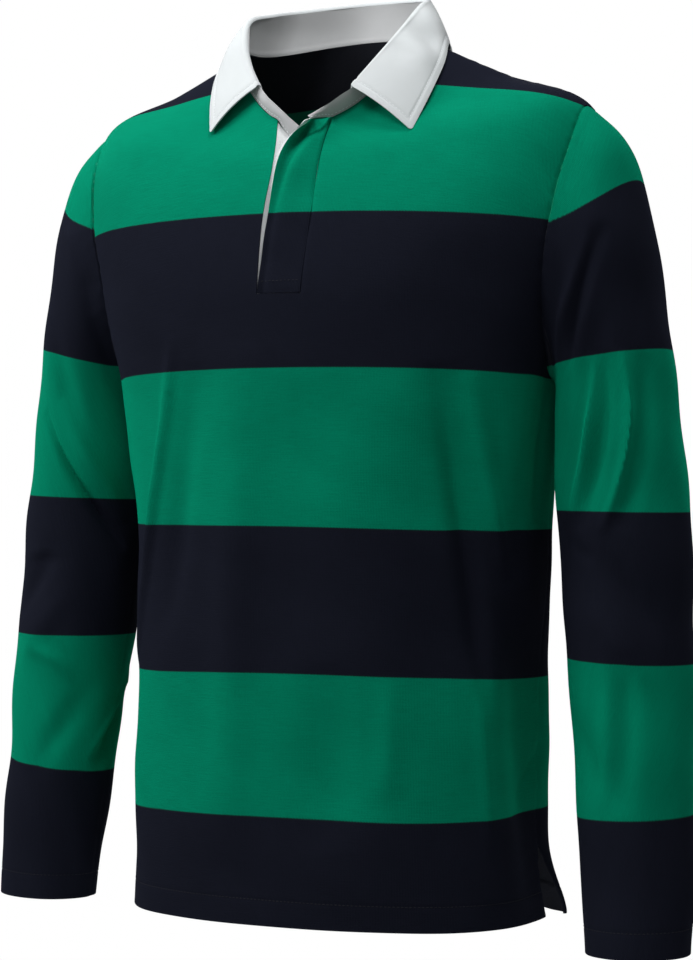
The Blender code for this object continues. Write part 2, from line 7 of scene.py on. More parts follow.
import math

import bpy
import numpy as np
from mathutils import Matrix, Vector

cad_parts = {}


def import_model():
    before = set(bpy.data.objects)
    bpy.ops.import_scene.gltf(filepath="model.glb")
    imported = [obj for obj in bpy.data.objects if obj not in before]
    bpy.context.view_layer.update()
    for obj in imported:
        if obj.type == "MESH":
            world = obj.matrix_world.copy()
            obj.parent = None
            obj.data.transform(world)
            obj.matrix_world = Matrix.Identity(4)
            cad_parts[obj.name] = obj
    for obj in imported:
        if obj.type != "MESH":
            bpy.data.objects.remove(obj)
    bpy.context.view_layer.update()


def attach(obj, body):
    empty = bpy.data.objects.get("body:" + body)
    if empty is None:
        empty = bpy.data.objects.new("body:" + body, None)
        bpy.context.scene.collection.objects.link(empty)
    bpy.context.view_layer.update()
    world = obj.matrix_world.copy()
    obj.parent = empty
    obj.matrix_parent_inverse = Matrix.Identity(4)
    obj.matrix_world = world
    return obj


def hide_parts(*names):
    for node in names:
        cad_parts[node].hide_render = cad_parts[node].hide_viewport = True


# The photo's camera: its angle round the shirt, its distance and height, and its focal length and centre
# in pixels
FRAME_WIDTH, FRAME_HEIGHT = 693, 960
CAMERA_AZIMUTH = 24.0
CAMERA_DISTANCE = 2.0
CAMERA_HEIGHT = -0.357
FOCAL_PIXELS = 2428.0
CENTRE_X, CENTRE_Y = 346.0, 485.0
SENSOR = 36.0
FLOOR_HEIGHT = -1.45
FLOOR_RADIUS = 2.9

# Cloth walls as they look, and the gap at a sewn seam
JERSEY = 0.0011
TWILL = 0.0014
FACING = 0.0009
FACING_GAP = 0.0011
SEAM_GAP = 0.0001
HEM_EXTRA = 0.0010

# The torso as rings from the hem up to the neckline: the heights at the sides, front and back, the half
# width, the reach of the front and back halves, where they meet, and how square the ring is
TORSO = np.array((
    (-0.700, -0.698, -0.706, 0.1750, 0.130, 0.116, -0.010, 2.25),
    (-0.620, -0.620, -0.622, 0.1735, 0.128, 0.116, -0.009, 2.25),
    (-0.500, -0.500, -0.500, 0.1715, 0.123, 0.112, -0.008, 2.25),
    (-0.385, -0.385, -0.385, 0.1755, 0.121, 0.112, -0.007, 2.25),
    (-0.282, -0.283, -0.281, 0.1880, 0.122, 0.116, -0.006, 2.30),
    (-0.206, -0.208, -0.200, 0.2080, 0.122, 0.118, -0.006, 2.35),
    (-0.136, -0.150, -0.125, 0.2225, 0.113, 0.112, -0.006, 2.35),
    (-0.059, -0.108, -0.072, 0.2115, 0.101, 0.098, -0.006, 2.10),
    (-0.030, -0.086, -0.028, 0.1430, 0.087, 0.081, -0.010, 2.00),
    (0.000, -0.072, 0.016, 0.0800, 0.074, 0.070, -0.015, 2.00),
))
# The rings of the torso at which these lie, and the angles of its seams and of the armholes' cuts
NOTCH_BOTTOM, UNDERARM, SHOULDER, NECKLINE = 5, 4, 7, 9
SIDE_SEAM = 95.0
SHOULDER_SEAM = 90.0
ARMHOLE_FRONT_CUT = 30.0
ARMHOLE_BACK_CUT = 31.0
# The body's rough radius, which turns a seam's gap into an angle, and how far the neckline sags on the left
GAP_RADIUS = 0.15
NECK_SAG = 0.007

# The side vents
VENT_TOP = -0.640
VENT_GAP = 0.0030
VENT_FLARE_OUT = 0.010
VENT_FLARE_BACK = 0.014

# The placket opening from its sewn end to the neckline: the notch's right and left edge, the upper
# placket's free edge, how far that stands forward, and the strip's bulge
OPENING = np.array((
    (-0.0195, 0.0178, -0.0190, 0.0000, 0.0000),
    (-0.0192, 0.0222, -0.0140, 0.0018, 0.0015),
    (-0.0165, 0.0234, -0.0085, 0.0080, 0.0050),
    (-0.0180, 0.0245, -0.0004, 0.0125, 0.0080),
    (-0.0210, 0.0262, 0.0150, 0.0140, 0.0050),
))
# How deep the under placket lies under the upper one, how steeply it falls, and where the stand meets it
UNDER_DIP = 0.0068
UNDER_SLOPE = 0.80
UNDER_STATIONS = (0.0315, 0.021, 0.011, 0.005)
# How far the facing shows past the placket's free edge, and the body's half width and reach beside it
FACING_SHOW = 0.0046
PLACKET_HALF_WIDTH, PLACKET_REACH = 0.20, 0.12

# Three buttons down the under placket
BUTTONS = (5.35, 6.20, 7.00)
BUTTON_X = 0.0030
BUTTON_RADIUS = 0.0055
BUTTON_THICKNESS = 0.0024
BUTTON_GAP = 0.0006
# A button's radii and heights, as shares of its own, from the middle of its back to the middle of its well
BUTTON_PROFILE = (
    (0.0, -1.0), (0.80, -1.0), (0.95, -0.75), (1.0, -0.2), (1.0, 0.3), (0.95, 0.8),
    (0.86, 1.0), (0.76, 0.95), (0.68, 0.6), (0.60, 0.45), (0.0, 0.45),
)

# The collar from the centre back to the leaf's front: the neckline's angle, the fold and the leaf's edge
COLLAR_LEFT = np.array((
    (225.0, -0.0540, 0.0370, 0.0420, -0.0680, 0.0520, 0.0005),
    (180.0, 0.0000, 0.0585, 0.0480, 0.0000, 0.0775, 0.0040),
    (135.0, 0.0520, 0.0370, 0.0430, 0.0680, 0.0520, 0.0005),
    (112.0, 0.0660, 0.0100, 0.0360, 0.0850, 0.0190, -0.0010),
    (90.0, 0.0710, -0.0170, 0.0260, 0.0970, -0.0150, -0.0035),
    (68.0, 0.0680, -0.0450, 0.0050, 0.1040, -0.0430, -0.0242),
    (48.0, 0.0580, -0.0690, -0.0200, 0.1020, -0.0700, -0.0540),
    (30.9, 0.0430, -0.0870, -0.0460, 0.0950, -0.0890, -0.0825),
))
COLLAR_RIGHT = np.array((
    (225.0, 0.0520, 0.0370, 0.0430, 0.0680, 0.0520, 0.0005),
    (180.0, 0.0000, 0.0585, 0.0480, 0.0000, 0.0775, 0.0040),
    (135.0, -0.0540, 0.0370, 0.0420, -0.0680, 0.0520, 0.0005),
    (112.0, -0.0710, 0.0090, 0.0350, -0.0860, 0.0180, -0.0010),
    (90.0, -0.0770, -0.0200, 0.0260, -0.0970, -0.0200, -0.0050),
    (68.0, -0.0690, -0.0450, 0.0050, -0.0970, -0.0440, -0.0190),
    (48.0, -0.0560, -0.0630, -0.0190, -0.0900, -0.0690, -0.0450),
    (33.9, -0.0405, -0.0775, -0.0395, -0.0810, -0.0880, -0.0746),
))
# The stand's top edge past the leaf, over the top of each placket, from the leaf outwards
STAND_LEFT = np.array((
    (0.0370, -0.0910, -0.0508),
    (0.0287, -0.0945, -0.0572),
    (0.0249, -0.0965, -0.0599),
    (0.0224, -0.0985, -0.0620),
    (0.0199, -0.1005, -0.0642),
    (0.0171, -0.1020, -0.0663),
    (0.0143, -0.1035, -0.0685),
))
STAND_RIGHT = np.array((
    (-0.0325, -0.0840, -0.0472),
    (-0.0240, -0.0875, -0.0541),
    (-0.0160, -0.0895, -0.0606),
    (-0.0105, -0.0905, -0.0650),
    (-0.0045, -0.0912, -0.0699),
    (0.0055, -0.0915, -0.0780),
    (0.0160, -0.0915, -0.0865),
))
# How many of the neckline's stations lie past the leaf's front ends, left and right, and how many steps there
# are along a front half and along the back
LEAF_FIRST_LEFT, LEAF_FIRST_RIGHT = 2, 3
PANEL_STEPS, BACK_STEPS = 12, 22
# The radius of the leaf's roll at its fold, how far it is crowned, and how round its points are
LEAF_ROLL = 0.0030
LEAF_CROWN = 0.0020
POINT_RADIUS = 0.0036

# Soft dents and rolls of the leaf: the middle's place from its right front end and below its fold, the
# width and height, and how far each one rises
LEAF_DENTS = (
    (0.030, 0.030, 0.020, 0.018, -0.0012),
    (0.075, 0.020, 0.025, 0.016, 0.0010),
    (0.130, 0.030, 0.020, 0.022, -0.0010),
    (0.200, 0.025, 0.030, 0.020, 0.0009),
    (0.270, 0.028, 0.024, 0.022, -0.0010),
    (0.320, 0.026, 0.018, 0.020, -0.0010),
    (0.365, 0.020, 0.014, 0.014, 0.0020),
    (0.388, 0.028, 0.011, 0.020, -0.0034),
    (0.408, 0.040, 0.010, 0.022, 0.0022),
    (0.420, 0.018, 0.010, 0.013, -0.0014),
)

# How many columns the front has on each side of the placket opening and across it, and the back and a
# sleeve
SIDE_COLUMNS, NOTCH_CELLS = 100, 13
NOTCH_COLUMN = SIDE_COLUMNS - 1 + NOTCH_CELLS
BACK_COLUMNS, SLEEVE_COLUMNS = 168, 168

# How far the rows of stitches are from their edges, and the depth and width of a seam's and a stitched
# row's dip
HEM = 0.0200
LEAF_ROW = 0.0065
STAND_ROW = 0.0022
UNDER_ROW = 0.0085
PLACKET_ROW = 0.0095
SEAM_DIP = (0.0006, 0.0030)
STITCH_DIP = (0.00035, 0.0013)
STITCH_PITCH = 0.0032
STITCH_LENGTH = 0.0024
STITCH_RADIUS = 0.00026

# Each sleeve from the armhole to the cuff: its outer and inner line, the ring's middle and half depth,
# and how far it has left the armhole's shape
SLEEVE = np.array((
    (0.2115, -0.0590, 0.1880, -0.2820, 0.0000, 0.0640, 0.00),
    (0.2380, -0.0830, 0.1890, -0.2835, 0.0000, 0.0655, 0.30),
    (0.2520, -0.1200, 0.1890, -0.2860, -0.0010, 0.0660, 0.60),
    (0.2640, -0.1700, 0.1885, -0.2920, -0.0015, 0.0650, 0.85),
    (0.2740, -0.2450, 0.1870, -0.3080, -0.0020, 0.0620, 1.00),
    (0.2840, -0.3120, 0.1865, -0.3400, -0.0030, 0.0580, 1.00),
    (0.2910, -0.3780, 0.1890, -0.3860, -0.0060, 0.0550, 1.00),
    (0.2970, -0.4550, 0.1965, -0.4580, -0.0130, 0.0520, 1.00),
    (0.3010, -0.5350, 0.2050, -0.5350, -0.0220, 0.0480, 1.00),
    (0.3040, -0.6200, 0.2140, -0.6200, -0.0330, 0.0430, 1.00),
    (0.3060, -0.7120, 0.2230, -0.7140, -0.0460, 0.0370, 1.00),
))
# From this height down, the right sleeve is lifted and drawn in towards its cuff
RIGHT_SLEEVE_FROM = -0.300
RIGHT_SLEEVE_LIFT = 0.011
RIGHT_SLEEVE_IN = 0.008

# The folds of the solids: angle and height at each end, width and depth. A depth above 0 is a ridge.
TORSO_FOLDS = (
    (70.0, -0.190, 73.0, -0.420, 0.010, 0.0040),
    (82.0, -0.210, 84.0, -0.420, 0.010, -0.0070),
    (-71.0, -0.200, -74.0, -0.390, 0.012, 0.0030),
    (-83.0, -0.220, -85.0, -0.400, 0.011, -0.0060),
    (150.0, -0.260, 140.0, -0.560, 0.022, -0.0050),
    (-148.0, -0.300, -141.0, -0.600, 0.022, -0.0050),
    (38.0, -0.300, 48.0, -0.640, 0.026, -0.0040),
)
SLEEVE_FOLDS = (
    (60.0, -0.190, 118.0, -0.360, 0.013, -0.0050),
    (100.0, -0.400, 40.0, -0.480, 0.012, -0.0045),
    (115.0, -0.440, 50.0, -0.520, 0.012, 0.0030),
    (150.0, -0.520, 85.0, -0.610, 0.012, -0.0040),
    (-70.0, -0.330, -120.0, -0.430, 0.014, -0.0050),
)
FOLD_RADIUS = 0.12
SLEEVE_FOLD_RADIUS = 0.055

# Finer creases, only as looks, with how far each one bows to the side as the last column
TORSO_CREASES = (
    (-26.0, -0.237, -66.0, -0.505, 0.0044, 0.0062, -0.0065),
    (-19.0, -0.260, -39.0, -0.480, 0.0120, -0.0062, 0.0007),
    (-8.0, -0.244, -12.0, -0.655, 0.0140, 0.0066, 0.0025),
    (7.0, -0.270, 3.0, -0.470, 0.0170, -0.0022, 0.0015),
    (36.0, -0.264, 61.0, -0.534, 0.0090, -0.0110, -0.0050),
    (46.0, -0.270, 68.0, -0.430, 0.0075, 0.0075, 0.0008),
    (70.0, -0.200, 74.0, -0.430, 0.0110, -0.0052, 0.0000),
    (76.0, -0.440, 88.0, -0.700, 0.0270, -0.0125, -0.0040),
    (55.0, -0.480, 61.0, -0.650, 0.0070, 0.0034, -0.0040),
    (28.0, -0.505, 28.0, -0.600, 0.0080, 0.0034, -0.0021),
    (10.0, -0.493, 13.0, -0.637, 0.0160, -0.0052, -0.0019),
    (98.0, -0.556, 80.0, -0.608, 0.0060, -0.0028, -0.0033),
    (112.0, -0.300, 124.0, -0.520, 0.0080, -0.0080, 0.0040),
    (120.0, -0.290, 134.0, -0.470, 0.0080, 0.0064, 0.0020),
    (158.0, -0.240, 150.0, -0.600, 0.0140, 0.0080, 0.0030),
    (-166.0, -0.330, -158.0, -0.640, 0.0120, -0.0085, -0.0040),
    (-128.0, -0.290, -116.0, -0.520, 0.0070, 0.0066, -0.0050),
    (-118.0, -0.300, -108.0, -0.480, 0.0070, -0.0060, 0.0000),
    (176.0, -0.500, 170.0, -0.660, 0.0100, -0.0055, 0.0020),
    (130.0, -0.380, 146.0, -0.640, 0.0100, 0.0050, -0.0030),
    (-150.0, -0.200, -172.0, -0.420, 0.0110, 0.0050, 0.0040),
    (-140.0, -0.130, -118.0, -0.250, 0.0080, -0.0060, 0.0040),
    (142.0, -0.120, 116.0, -0.240, 0.0080, -0.0062, -0.0040),
)
LEFT_SLEEVE_CREASES = (
    (53.0, -0.156, 116.0, -0.270, 0.0055, -0.0060, -0.0040),
    (66.0, -0.167, 140.0, -0.270, 0.0055, 0.0042, 0.0021),
    (83.0, -0.256, 123.0, -0.384, 0.0044, 0.0060, 0.0056),
    (71.0, -0.253, 114.0, -0.393, 0.0065, -0.0056, 0.0070),
    (57.0, -0.254, 93.0, -0.395, 0.0060, 0.0046, 0.0109),
    (57.0, -0.254, 93.0, -0.395, 0.0030, 0.0032, 0.0109),
    (36.0, -0.254, 75.0, -0.391, 0.0090, -0.0054, 0.0052),
    (131.0, -0.391, 97.0, -0.413, 0.0050, -0.0014, -0.0054),
    (98.0, -0.474, 107.0, -0.604, 0.0080, 0.0030, 0.0044),
    (79.0, -0.481, 87.0, -0.604, 0.0100, -0.0034, 0.0038),
    (-60.0, -0.200, -118.0, -0.300, 0.0070, -0.0046, 0.0030),
    (-75.0, -0.330, -130.0, -0.400, 0.0050, 0.0040, -0.0030),
    (-88.0, -0.345, -140.0, -0.412, 0.0060, -0.0050, -0.0030),
    (-50.0, -0.395, -110.0, -0.450, 0.0055, -0.0034, 0.0040),
    (-95.0, -0.520, -80.0, -0.620, 0.0120, 0.0010, 0.0030),
    (-30.0, -0.300, -24.0, -0.420, 0.0120, 0.0010, 0.0040),
)
RIGHT_SLEEVE_CREASES = (
    (62.0, -0.292, 161.0, -0.415, 0.0040, -0.0088, 0.0036),
    (85.0, -0.284, 160.0, -0.389, 0.0075, 0.0044, 0.0034),
    (33.0, -0.422, 106.0, -0.417, 0.0050, 0.0012, -0.0029),
    (49.0, -0.429, 109.0, -0.424, 0.0060, -0.0010, -0.0034),
    (208.0, -0.520, 143.0, -0.596, 0.0042, 0.0034, 0.0000),
    (205.0, -0.536, 156.0, -0.604, 0.0105, -0.0068, 0.0000),
    (64.0, -0.498, 124.0, -0.524, 0.0060, 0.0030, -0.0049),
    (56.0, -0.138, 97.0, -0.190, 0.0060, 0.0022, -0.0021),
    (73.0, -0.146, 114.0, -0.214, 0.0080, -0.0028, -0.0012),
    (-58.0, -0.180, -112.0, -0.290, 0.0080, -0.0044, -0.0020),
    (-70.0, -0.350, -135.0, -0.405, 0.0055, -0.0048, 0.0040),
    (-82.0, -0.372, -140.0, -0.430, 0.0055, 0.0036, 0.0030),
    (-45.0, -0.430, -100.0, -0.500, 0.0070, -0.0032, 0.0030),
    (-110.0, -0.560, -60.0, -0.600, 0.0080, 0.0012, 0.0020),
    (0.0, -0.300, -12.0, -0.440, 0.0120, 0.0010, 0.0030),
)

# The heights of the stripes' edges from the shoulders down, at the right side, right front, front, left
# front, left side and back. Above the first one the cloth is navy, then green, and so on in turn.
STRIPES_BODY = np.array((
    (-0.052, -0.0355, -0.036, -0.037, -0.061, -0.031),
    (-0.155, -0.1480, -0.1445, -0.151, -0.157, -0.150),
    (-0.272, -0.2680, -0.266, -0.2690, -0.274, -0.270),
    (-0.389, -0.3890, -0.389, -0.3920, -0.392, -0.390),
    (-0.509, -0.5070, -0.503, -0.5055, -0.510, -0.508),
    (-0.620, -0.6165, -0.613, -0.6150, -0.6146, -0.616),
))
# The left and the right sleeve's edges, each on its outer and its inner line
STRIPES_LEFT = np.array((
    (0.020, 0.020),
    (-0.120, -0.204),
    (-0.252, -0.265),
    (-0.378, -0.3765),
    (-0.4945, -0.491),
    (-0.608, -0.611),
))
STRIPES_RIGHT = np.array((
    (0.020, 0.020),
    (-0.115, -0.193),
    (-0.239, -0.2594),
    (-0.367, -0.3708),
    (-0.4872, -0.4888),
    (-0.594, -0.6055),
))

# Low waves of the cloth: length, direction, start and height
TORSO_WAVES = (
    (0.170, 20.0, 0.4, 0.0011),
    (0.120, 75.0, 2.1, 0.0006),
    (0.087, -35.0, 4.0, 0.0005),
    (0.061, 12.0, 1.2, 0.00035),
    (0.043, 64.0, 5.1, 0.00016),
)
SLEEVE_WAVES = ((0.115, 60.0, 1.4, 0.0008), (0.075, 110.0, 3.3, 0.0006), (0.052, -25.0, 0.6, 0.0003))
PLACKET_WAVES = ((0.048, 75.0, 0.5, 0.0003), (0.031, 110.0, 2.2, 0.0002))
STAND_WAVES = ((0.083, 10.0, 0.3, 0.0005), (0.047, 70.0, 1.9, 0.0003))

# Colours, and the spacing of the jersey's wales and courses and of the twill's ribs and threads
NAVY = (0.0085, 0.0098, 0.0172)
GREEN = (0.0002, 0.1950, 0.1080)
# Painted fill light: colour added to the jersey's inner faces, which lightens the shade inside the neck
REVERSE_PAINTED_FILL = (0.010, 0.010, 0.009)
WHITE = (0.578, 0.610, 0.620)
# A greyer white for the collar stand: partly its own tone, partly painted shade for the shade that falls
# inside the neck
STAND_WHITE_AND_SHADE = (0.450, 0.458, 0.465)
# Painted light: a brighter copy of the white twill for the plackets and the facing, which lie in shade
PLACKET_WHITE_PAINTED_LIGHT = (0.780, 0.800, 0.810)
NAVY_THREAD = (0.006, 0.007, 0.013)
WHITE_THREAD = (0.72, 0.75, 0.77)
RUBBER = (0.72, 0.73, 0.71)
FLOOR_PALE = (0.86, 0.86, 0.86)
WALE, COURSE = 0.0012, 0.0009
RIB, WEFT = 0.0007, 0.00045

# The surrounding light's bright side, and its least and greatest strength
WORLD_BRIGHT_SIDE = (-0.52, -0.40, 0.75)
WORLD_LOW, WORLD_HIGH = 0.03, 0.36
# The lights: name, place, what they point at, size and power
LIGHTS = (
    ("key", (-1.50, -0.75, 0.80), (0.0, 0.0, -0.10), 0.6, 22),
    ("front", (-0.25, -1.05, 1.15), (0.0, 0.0, -0.05), 0.5, 12),
    ("top", (0.35, -0.25, 1.20), (0.05, -0.05, -0.10), 0.4, 12),
    ("behind", (-0.60, 1.60, 0.50), (0.0, 0.0, -0.30), 0.6, 12),
)


def curve(rows, t):
    """A smooth curve through evenly spaced rows of numbers, at the fractional rows t."""
    rows = np.asarray(rows, float)
    t = np.asarray(t, float)
    last = len(rows) - 1
    i = np.clip(np.floor(t).astype(int), 0, last - 1)
    f = (t - i)[..., None]
    padded = np.concatenate([2 * rows[:1] - rows[1:2], rows, 2 * rows[-1:] - rows[-2:-1]])
    a, b, c, d = (padded[i + k] for k in range(4))
    return (b * 2 + (c - a) * f + (a * 2 - b * 5 + c * 4 - d) * f**2 + (b * 3 - a - c * 3 + d) * f**3) * 0.5


def ease(share):
    """0 to 1 with no slope at either end."""
    share = np.clip(share, 0.0, 1.0)
    return share * share * (3 - 2 * share)


def bell(distance, width):
    """1 at no distance, falling smoothly to nothing."""
    return np.exp(-((distance / width) ** 2))


def xyz(x, y, z):
    """Points or directions from their three numbers."""
    return np.stack(np.broadcast_arrays(x, y, z), -1)


def unit(vectors):
    """Vectors of length 1."""
    return vectors / np.maximum(np.linalg.norm(vectors, axis=-1, keepdims=True), 1e-12)


def fold_depth(table, angle, z, radius, power=1.5):
    """How far a table's folds raise the surface at these angles, in degrees, and heights."""
    total = np.zeros(np.broadcast(angle, z).shape)
    metres = math.radians(1) * radius
    for angle_a, z_a, angle_b, z_b, width, depth, *bow in table:
        run = np.array(((angle_b - angle_a) * metres, z_b - z_a))
        length = np.hypot(*run)
        for turn in (-360, 0, 360):
            to_x, to_z = (angle + turn - angle_a) * metres, z - z_a
            along = (to_x * run[0] + to_z * run[1]) / length**2
            across = (to_x * run[1] - to_z * run[0]) / length
            if bow:
                across = across - bow[0] * 4 * along * (1 - along)
            total += depth * np.sin(np.pi * np.clip(along, 0, 1)) ** power * bell(across, width)
    return total


def waves(across, along, table):
    """Low waves of the cloth at places in metres, each with its length, direction, start and height."""
    total = np.zeros(np.broadcast(across, along).shape)
    for length, direction, start, height in table:
        turn = math.radians(direction)
        way = across * math.cos(turn) + along * math.sin(turn)
        total += height * np.sin(2 * np.pi * way / length + start)
    return total


def groove(distance, depth, width):
    """A sewn line's dip at this distance from it."""
    return -depth * bell(distance, width)


def pucker(along, distance):
    """The small gathers that a seam draws into the cloth beside it."""
    rhythm = np.sin(2 * np.pi * along / 0.0145) + 0.7 * np.sin(2 * np.pi * along / 0.0093 + 1.3)
    return 0.00022 * rhythm * bell(distance, 0.007)


def spaced(count, crowd=0.5):
    """Shares from 0 to 1 that crowd towards both ends."""
    u = np.linspace(0, 1, count)
    return (1 - crowd) * u + crowd * (1 - np.cos(np.pi * u)) / 2


def grid_normals(grid):
    """The directions square to a grid of points, along the product of its column and row directions."""
    return unit(np.cross(np.gradient(grid, axis=1), np.gradient(grid, axis=0)))


def lengths(grid, axis):
    """How far each point of a grid is along its row or column from the first one."""
    steps = np.linalg.norm(np.diff(grid, axis=axis), axis=-1)
    return np.concatenate([np.zeros_like(np.take(grid[..., 0], [0], axis)), np.cumsum(steps, axis)], axis)


def torso_surface(t, angle):
    """The shirt body's outer surface at ring t and an angle in degrees from the centre front."""
    t, angle = np.broadcast_arrays(np.asarray(t, float), np.asarray(angle, float))
    z_side, z_front, z_back, half_width, front, back, shift, square = np.moveaxis(curve(TORSO, t), -1, 0)
    s, c = np.sin(np.radians(angle)), np.cos(np.radians(angle))
    reach = np.where(c > 0, front, back)
    z = z_side + (np.where(c > 0, z_front, z_back) - z_side) * c * c
    sagging = (t > SHOULDER) & (angle > 0) & (angle < 90)
    z = z - sagging * NECK_SAG * ease((t - SHOULDER) / (NECKLINE - SHOULDER)) * (2 * s * c) ** 2
    x = np.sign(s) * np.abs(s) ** (2 / square) * half_width
    y = shift - np.sign(c) * np.abs(c) ** (2 / square) * reach
    out = unit(xyz(x / half_width**2, (y - shift) / reach**2, 0.0))
    return xyz(x, y, z) + out * fold_depth(TORSO_FOLDS, angle, z, FOLD_RADIUS)[..., None]


def torso_normal(t, angle):
    """The direction square to the shirt body's surface, outwards."""
    t, angle = np.asarray(t), np.asarray(angle)
    up = torso_surface(t + 0.02, angle) - torso_surface(t - 0.02, angle)
    return unit(np.cross(torso_surface(t, angle + 0.5) - torso_surface(t, angle - 0.5), up))


def torso_point(t, angle, inward=0.0):
    """A point of the shirt body's surface, moved inward square to it."""
    return torso_surface(t, angle) - torso_normal(t, angle) * np.asarray(inward)[..., None]


def angle_at(t, x):
    """The angle at which ring t's front passes this x."""
    ring = curve(TORSO, t)
    return np.sign(x) * np.degrees(np.arcsin((np.abs(x) / ring[..., 3]) ** (ring[..., 7] / 2)))


def seam_angle(t):
    """The side seam up to the underarm, then the armhole's middle, and the shoulder seam from its top."""
    return SIDE_SEAM + (SHOULDER_SEAM - SIDE_SEAM) * ease((t - UNDERARM) / (SHOULDER - UNDERARM))


def panel_edge(t, cut, gap):
    """The angle where the back begins at ring t, or where the front ends for a cut and a gap below 0."""
    share = np.clip((t - UNDERARM) / (SHOULDER - UNDERARM), 0, 1)
    return seam_angle(t) + cut * np.sin(np.pi * share) ** 0.5 + np.degrees(gap / GAP_RADIUS)


def vent_gap(t):
    """Half the space between front and back at the side seam: next to nothing, and wider in the vent."""
    return SEAM_GAP / 2 + VENT_GAP * ease((VENT_TOP - curve(TORSO, t)[..., 0]) / 0.02)


def opening(t):
    """The placket opening's numbers at ring t."""
    return curve(OPENING, np.maximum(0.0, np.asarray(t) - NOTCH_BOTTOM))


def new_piece(name, points, faces, material, sharp=180):
    """An object of one mesh and one material, smooth up to the sharp angle in degrees."""
    mesh = bpy.data.meshes.new(name)
    mesh.from_pydata(points, [], faces)
    mesh.shade_smooth()
    mesh.set_sharp_from_angle(angle=math.radians(sharp))
    mesh.materials.append(material)
    piece = bpy.data.objects.new(name, mesh)
    bpy.context.scene.collection.objects.link(piece)
    return piece


def make_shell(name, outer, inner, cloth, stripe, material, keep=None):
    """A closed cloth wall between two grids of points. cloth holds the weave's coordinates in metres,
    stripe the number of stripe edges above each point, and keep is false where a cell of the grid is left
    out."""
    rows, columns = outer.shape[:2]
    count = rows * columns
    index = np.arange(count).reshape(rows, columns)
    cells = np.stack((index[:-1, :-1], index[:-1, 1:], index[1:, 1:], index[1:, :-1]), -1)
    cells = cells.reshape(-1, 4) if keep is None else cells[keep]
    points = np.concatenate((outer.reshape(-1, 3), inner.reshape(-1, 3)))
    a, b, _, d = np.moveaxis(points[cells], 1, 0)
    if np.sum(np.cross(b - a, d - a) * (a - points[cells[:, 0] + count])) < 0:
        cells = cells[:, ::-1]
    edges = np.concatenate([np.stack((cells[:, k - 1], cells[:, k]), -1) for k in range(4)])
    lone = ~np.isin(edges @ (count, 1), edges @ (1, count))
    rim = np.concatenate((edges[lone][:, ::-1], edges[lone] + count), 1)
    faces = np.concatenate((cells, cells[:, ::-1] + count, rim))
    used, faces = np.unique(faces, return_inverse=True)
    faces = faces.reshape(-1, 4)
    piece = new_piece(name, points[used].tolist(), faces.tolist(), material, 50)
    places = np.tile(cloth.reshape(-1, 2), (2, 1))[used]
    layer = piece.data.uv_layers.new(name="cloth")
    layer.data.foreach_set("uv", places[faces.ravel()].astype(np.float32).ravel())
    for label, values in (("stripe", np.tile(stripe.ravel(), 2)[used]), ("reverse", used >= count)):
        attribute = piece.data.attributes.new(label, "FLOAT", "POINT")
        attribute.data.foreach_set("value", values.astype(np.float32))
    return piece


def stripe_level(z, edges):
    """How many stripe edges lie above each height, with its share of the way to the next one. edges holds
    the heights of the edges beside each point, in its last axis."""
    level = np.maximum(0.0, 1 - (z - edges[..., 0]) / 0.11)
    for k in range(edges.shape[-1]):
        above = edges[..., k]
        gap = above - edges[..., k + 1] if k + 1 < edges.shape[-1] else 0.2
        level = np.where(z <= above, k + 1 + (above - z) / gap, level)
    return level


def torso_stripes(angle, z):
    """The stripe level at points of the shirt body."""
    right, right_front, front, left_front, left, back = STRIPES_BODY.T
    right_back, left_back = (back + right) / 2, (left + back) / 2
    ahead = (right, right_front, front, left_front, left)
    stations = (left_back, back, right_back, *ahead, left_back, back, right_back)
    return stripe_level(z, curve(stations, (angle + 180) / 45 + 1))


def sleeve_stripes(edges, angle, z):
    """The stripe level at points of a sleeve, before it is placed on its side."""
    share = ((np.cos(np.radians(angle)) + 1) / 2)[..., None]
    outer, inner = edges.T
    return stripe_level(z, inner + (outer - inner) * share)


def torso_relief(t, angle, z):
    """How far the creases and waves raise the shirt body over the form of its solid."""
    near_placket = np.exp(-((angle / 26.0) ** 4)) * ease((t - 4.5) / 0.5)
    fade = (1 - ease((t - 8.0) / 0.9)) * (1 - near_placket)
    across = np.radians(angle) * FOLD_RADIUS
    return fade * (fold_depth(TORSO_CREASES, angle, z, FOLD_RADIUS, 0.8) + waves(across, z, TORSO_WAVES))


def torso_rows():
    """The fractional rings of the shirt body's rows, finer at the hem and at both ends of the armhole."""
    parts = ((0.0, 0.35, 18), (0.35, 1.0, 12), (1.0, 2.0, 24), (2.0, 3.0, 22), (3.0, 4.0, 20))
    rows = [np.linspace(a, b, count, endpoint=False) for a, b, count in parts]
    arm = UNDERARM + (SHOULDER - UNDERARM) * (1 - np.cos(np.linspace(0, np.pi, 81))) / 2
    arm[np.argmin(np.abs(arm - NOTCH_BOTTOM))] = NOTCH_BOTTOM
    return np.concatenate((*rows, arm[:-1], np.linspace(SHOULDER, NECKLINE, 41)))


def hem_depth(distance):
    """How thick the cloth is at this distance from a turned hem or cuff."""
    return JERSEY + HEM_EXTRA * (1 - ease((distance - HEM + 0.0005) / 0.0015))


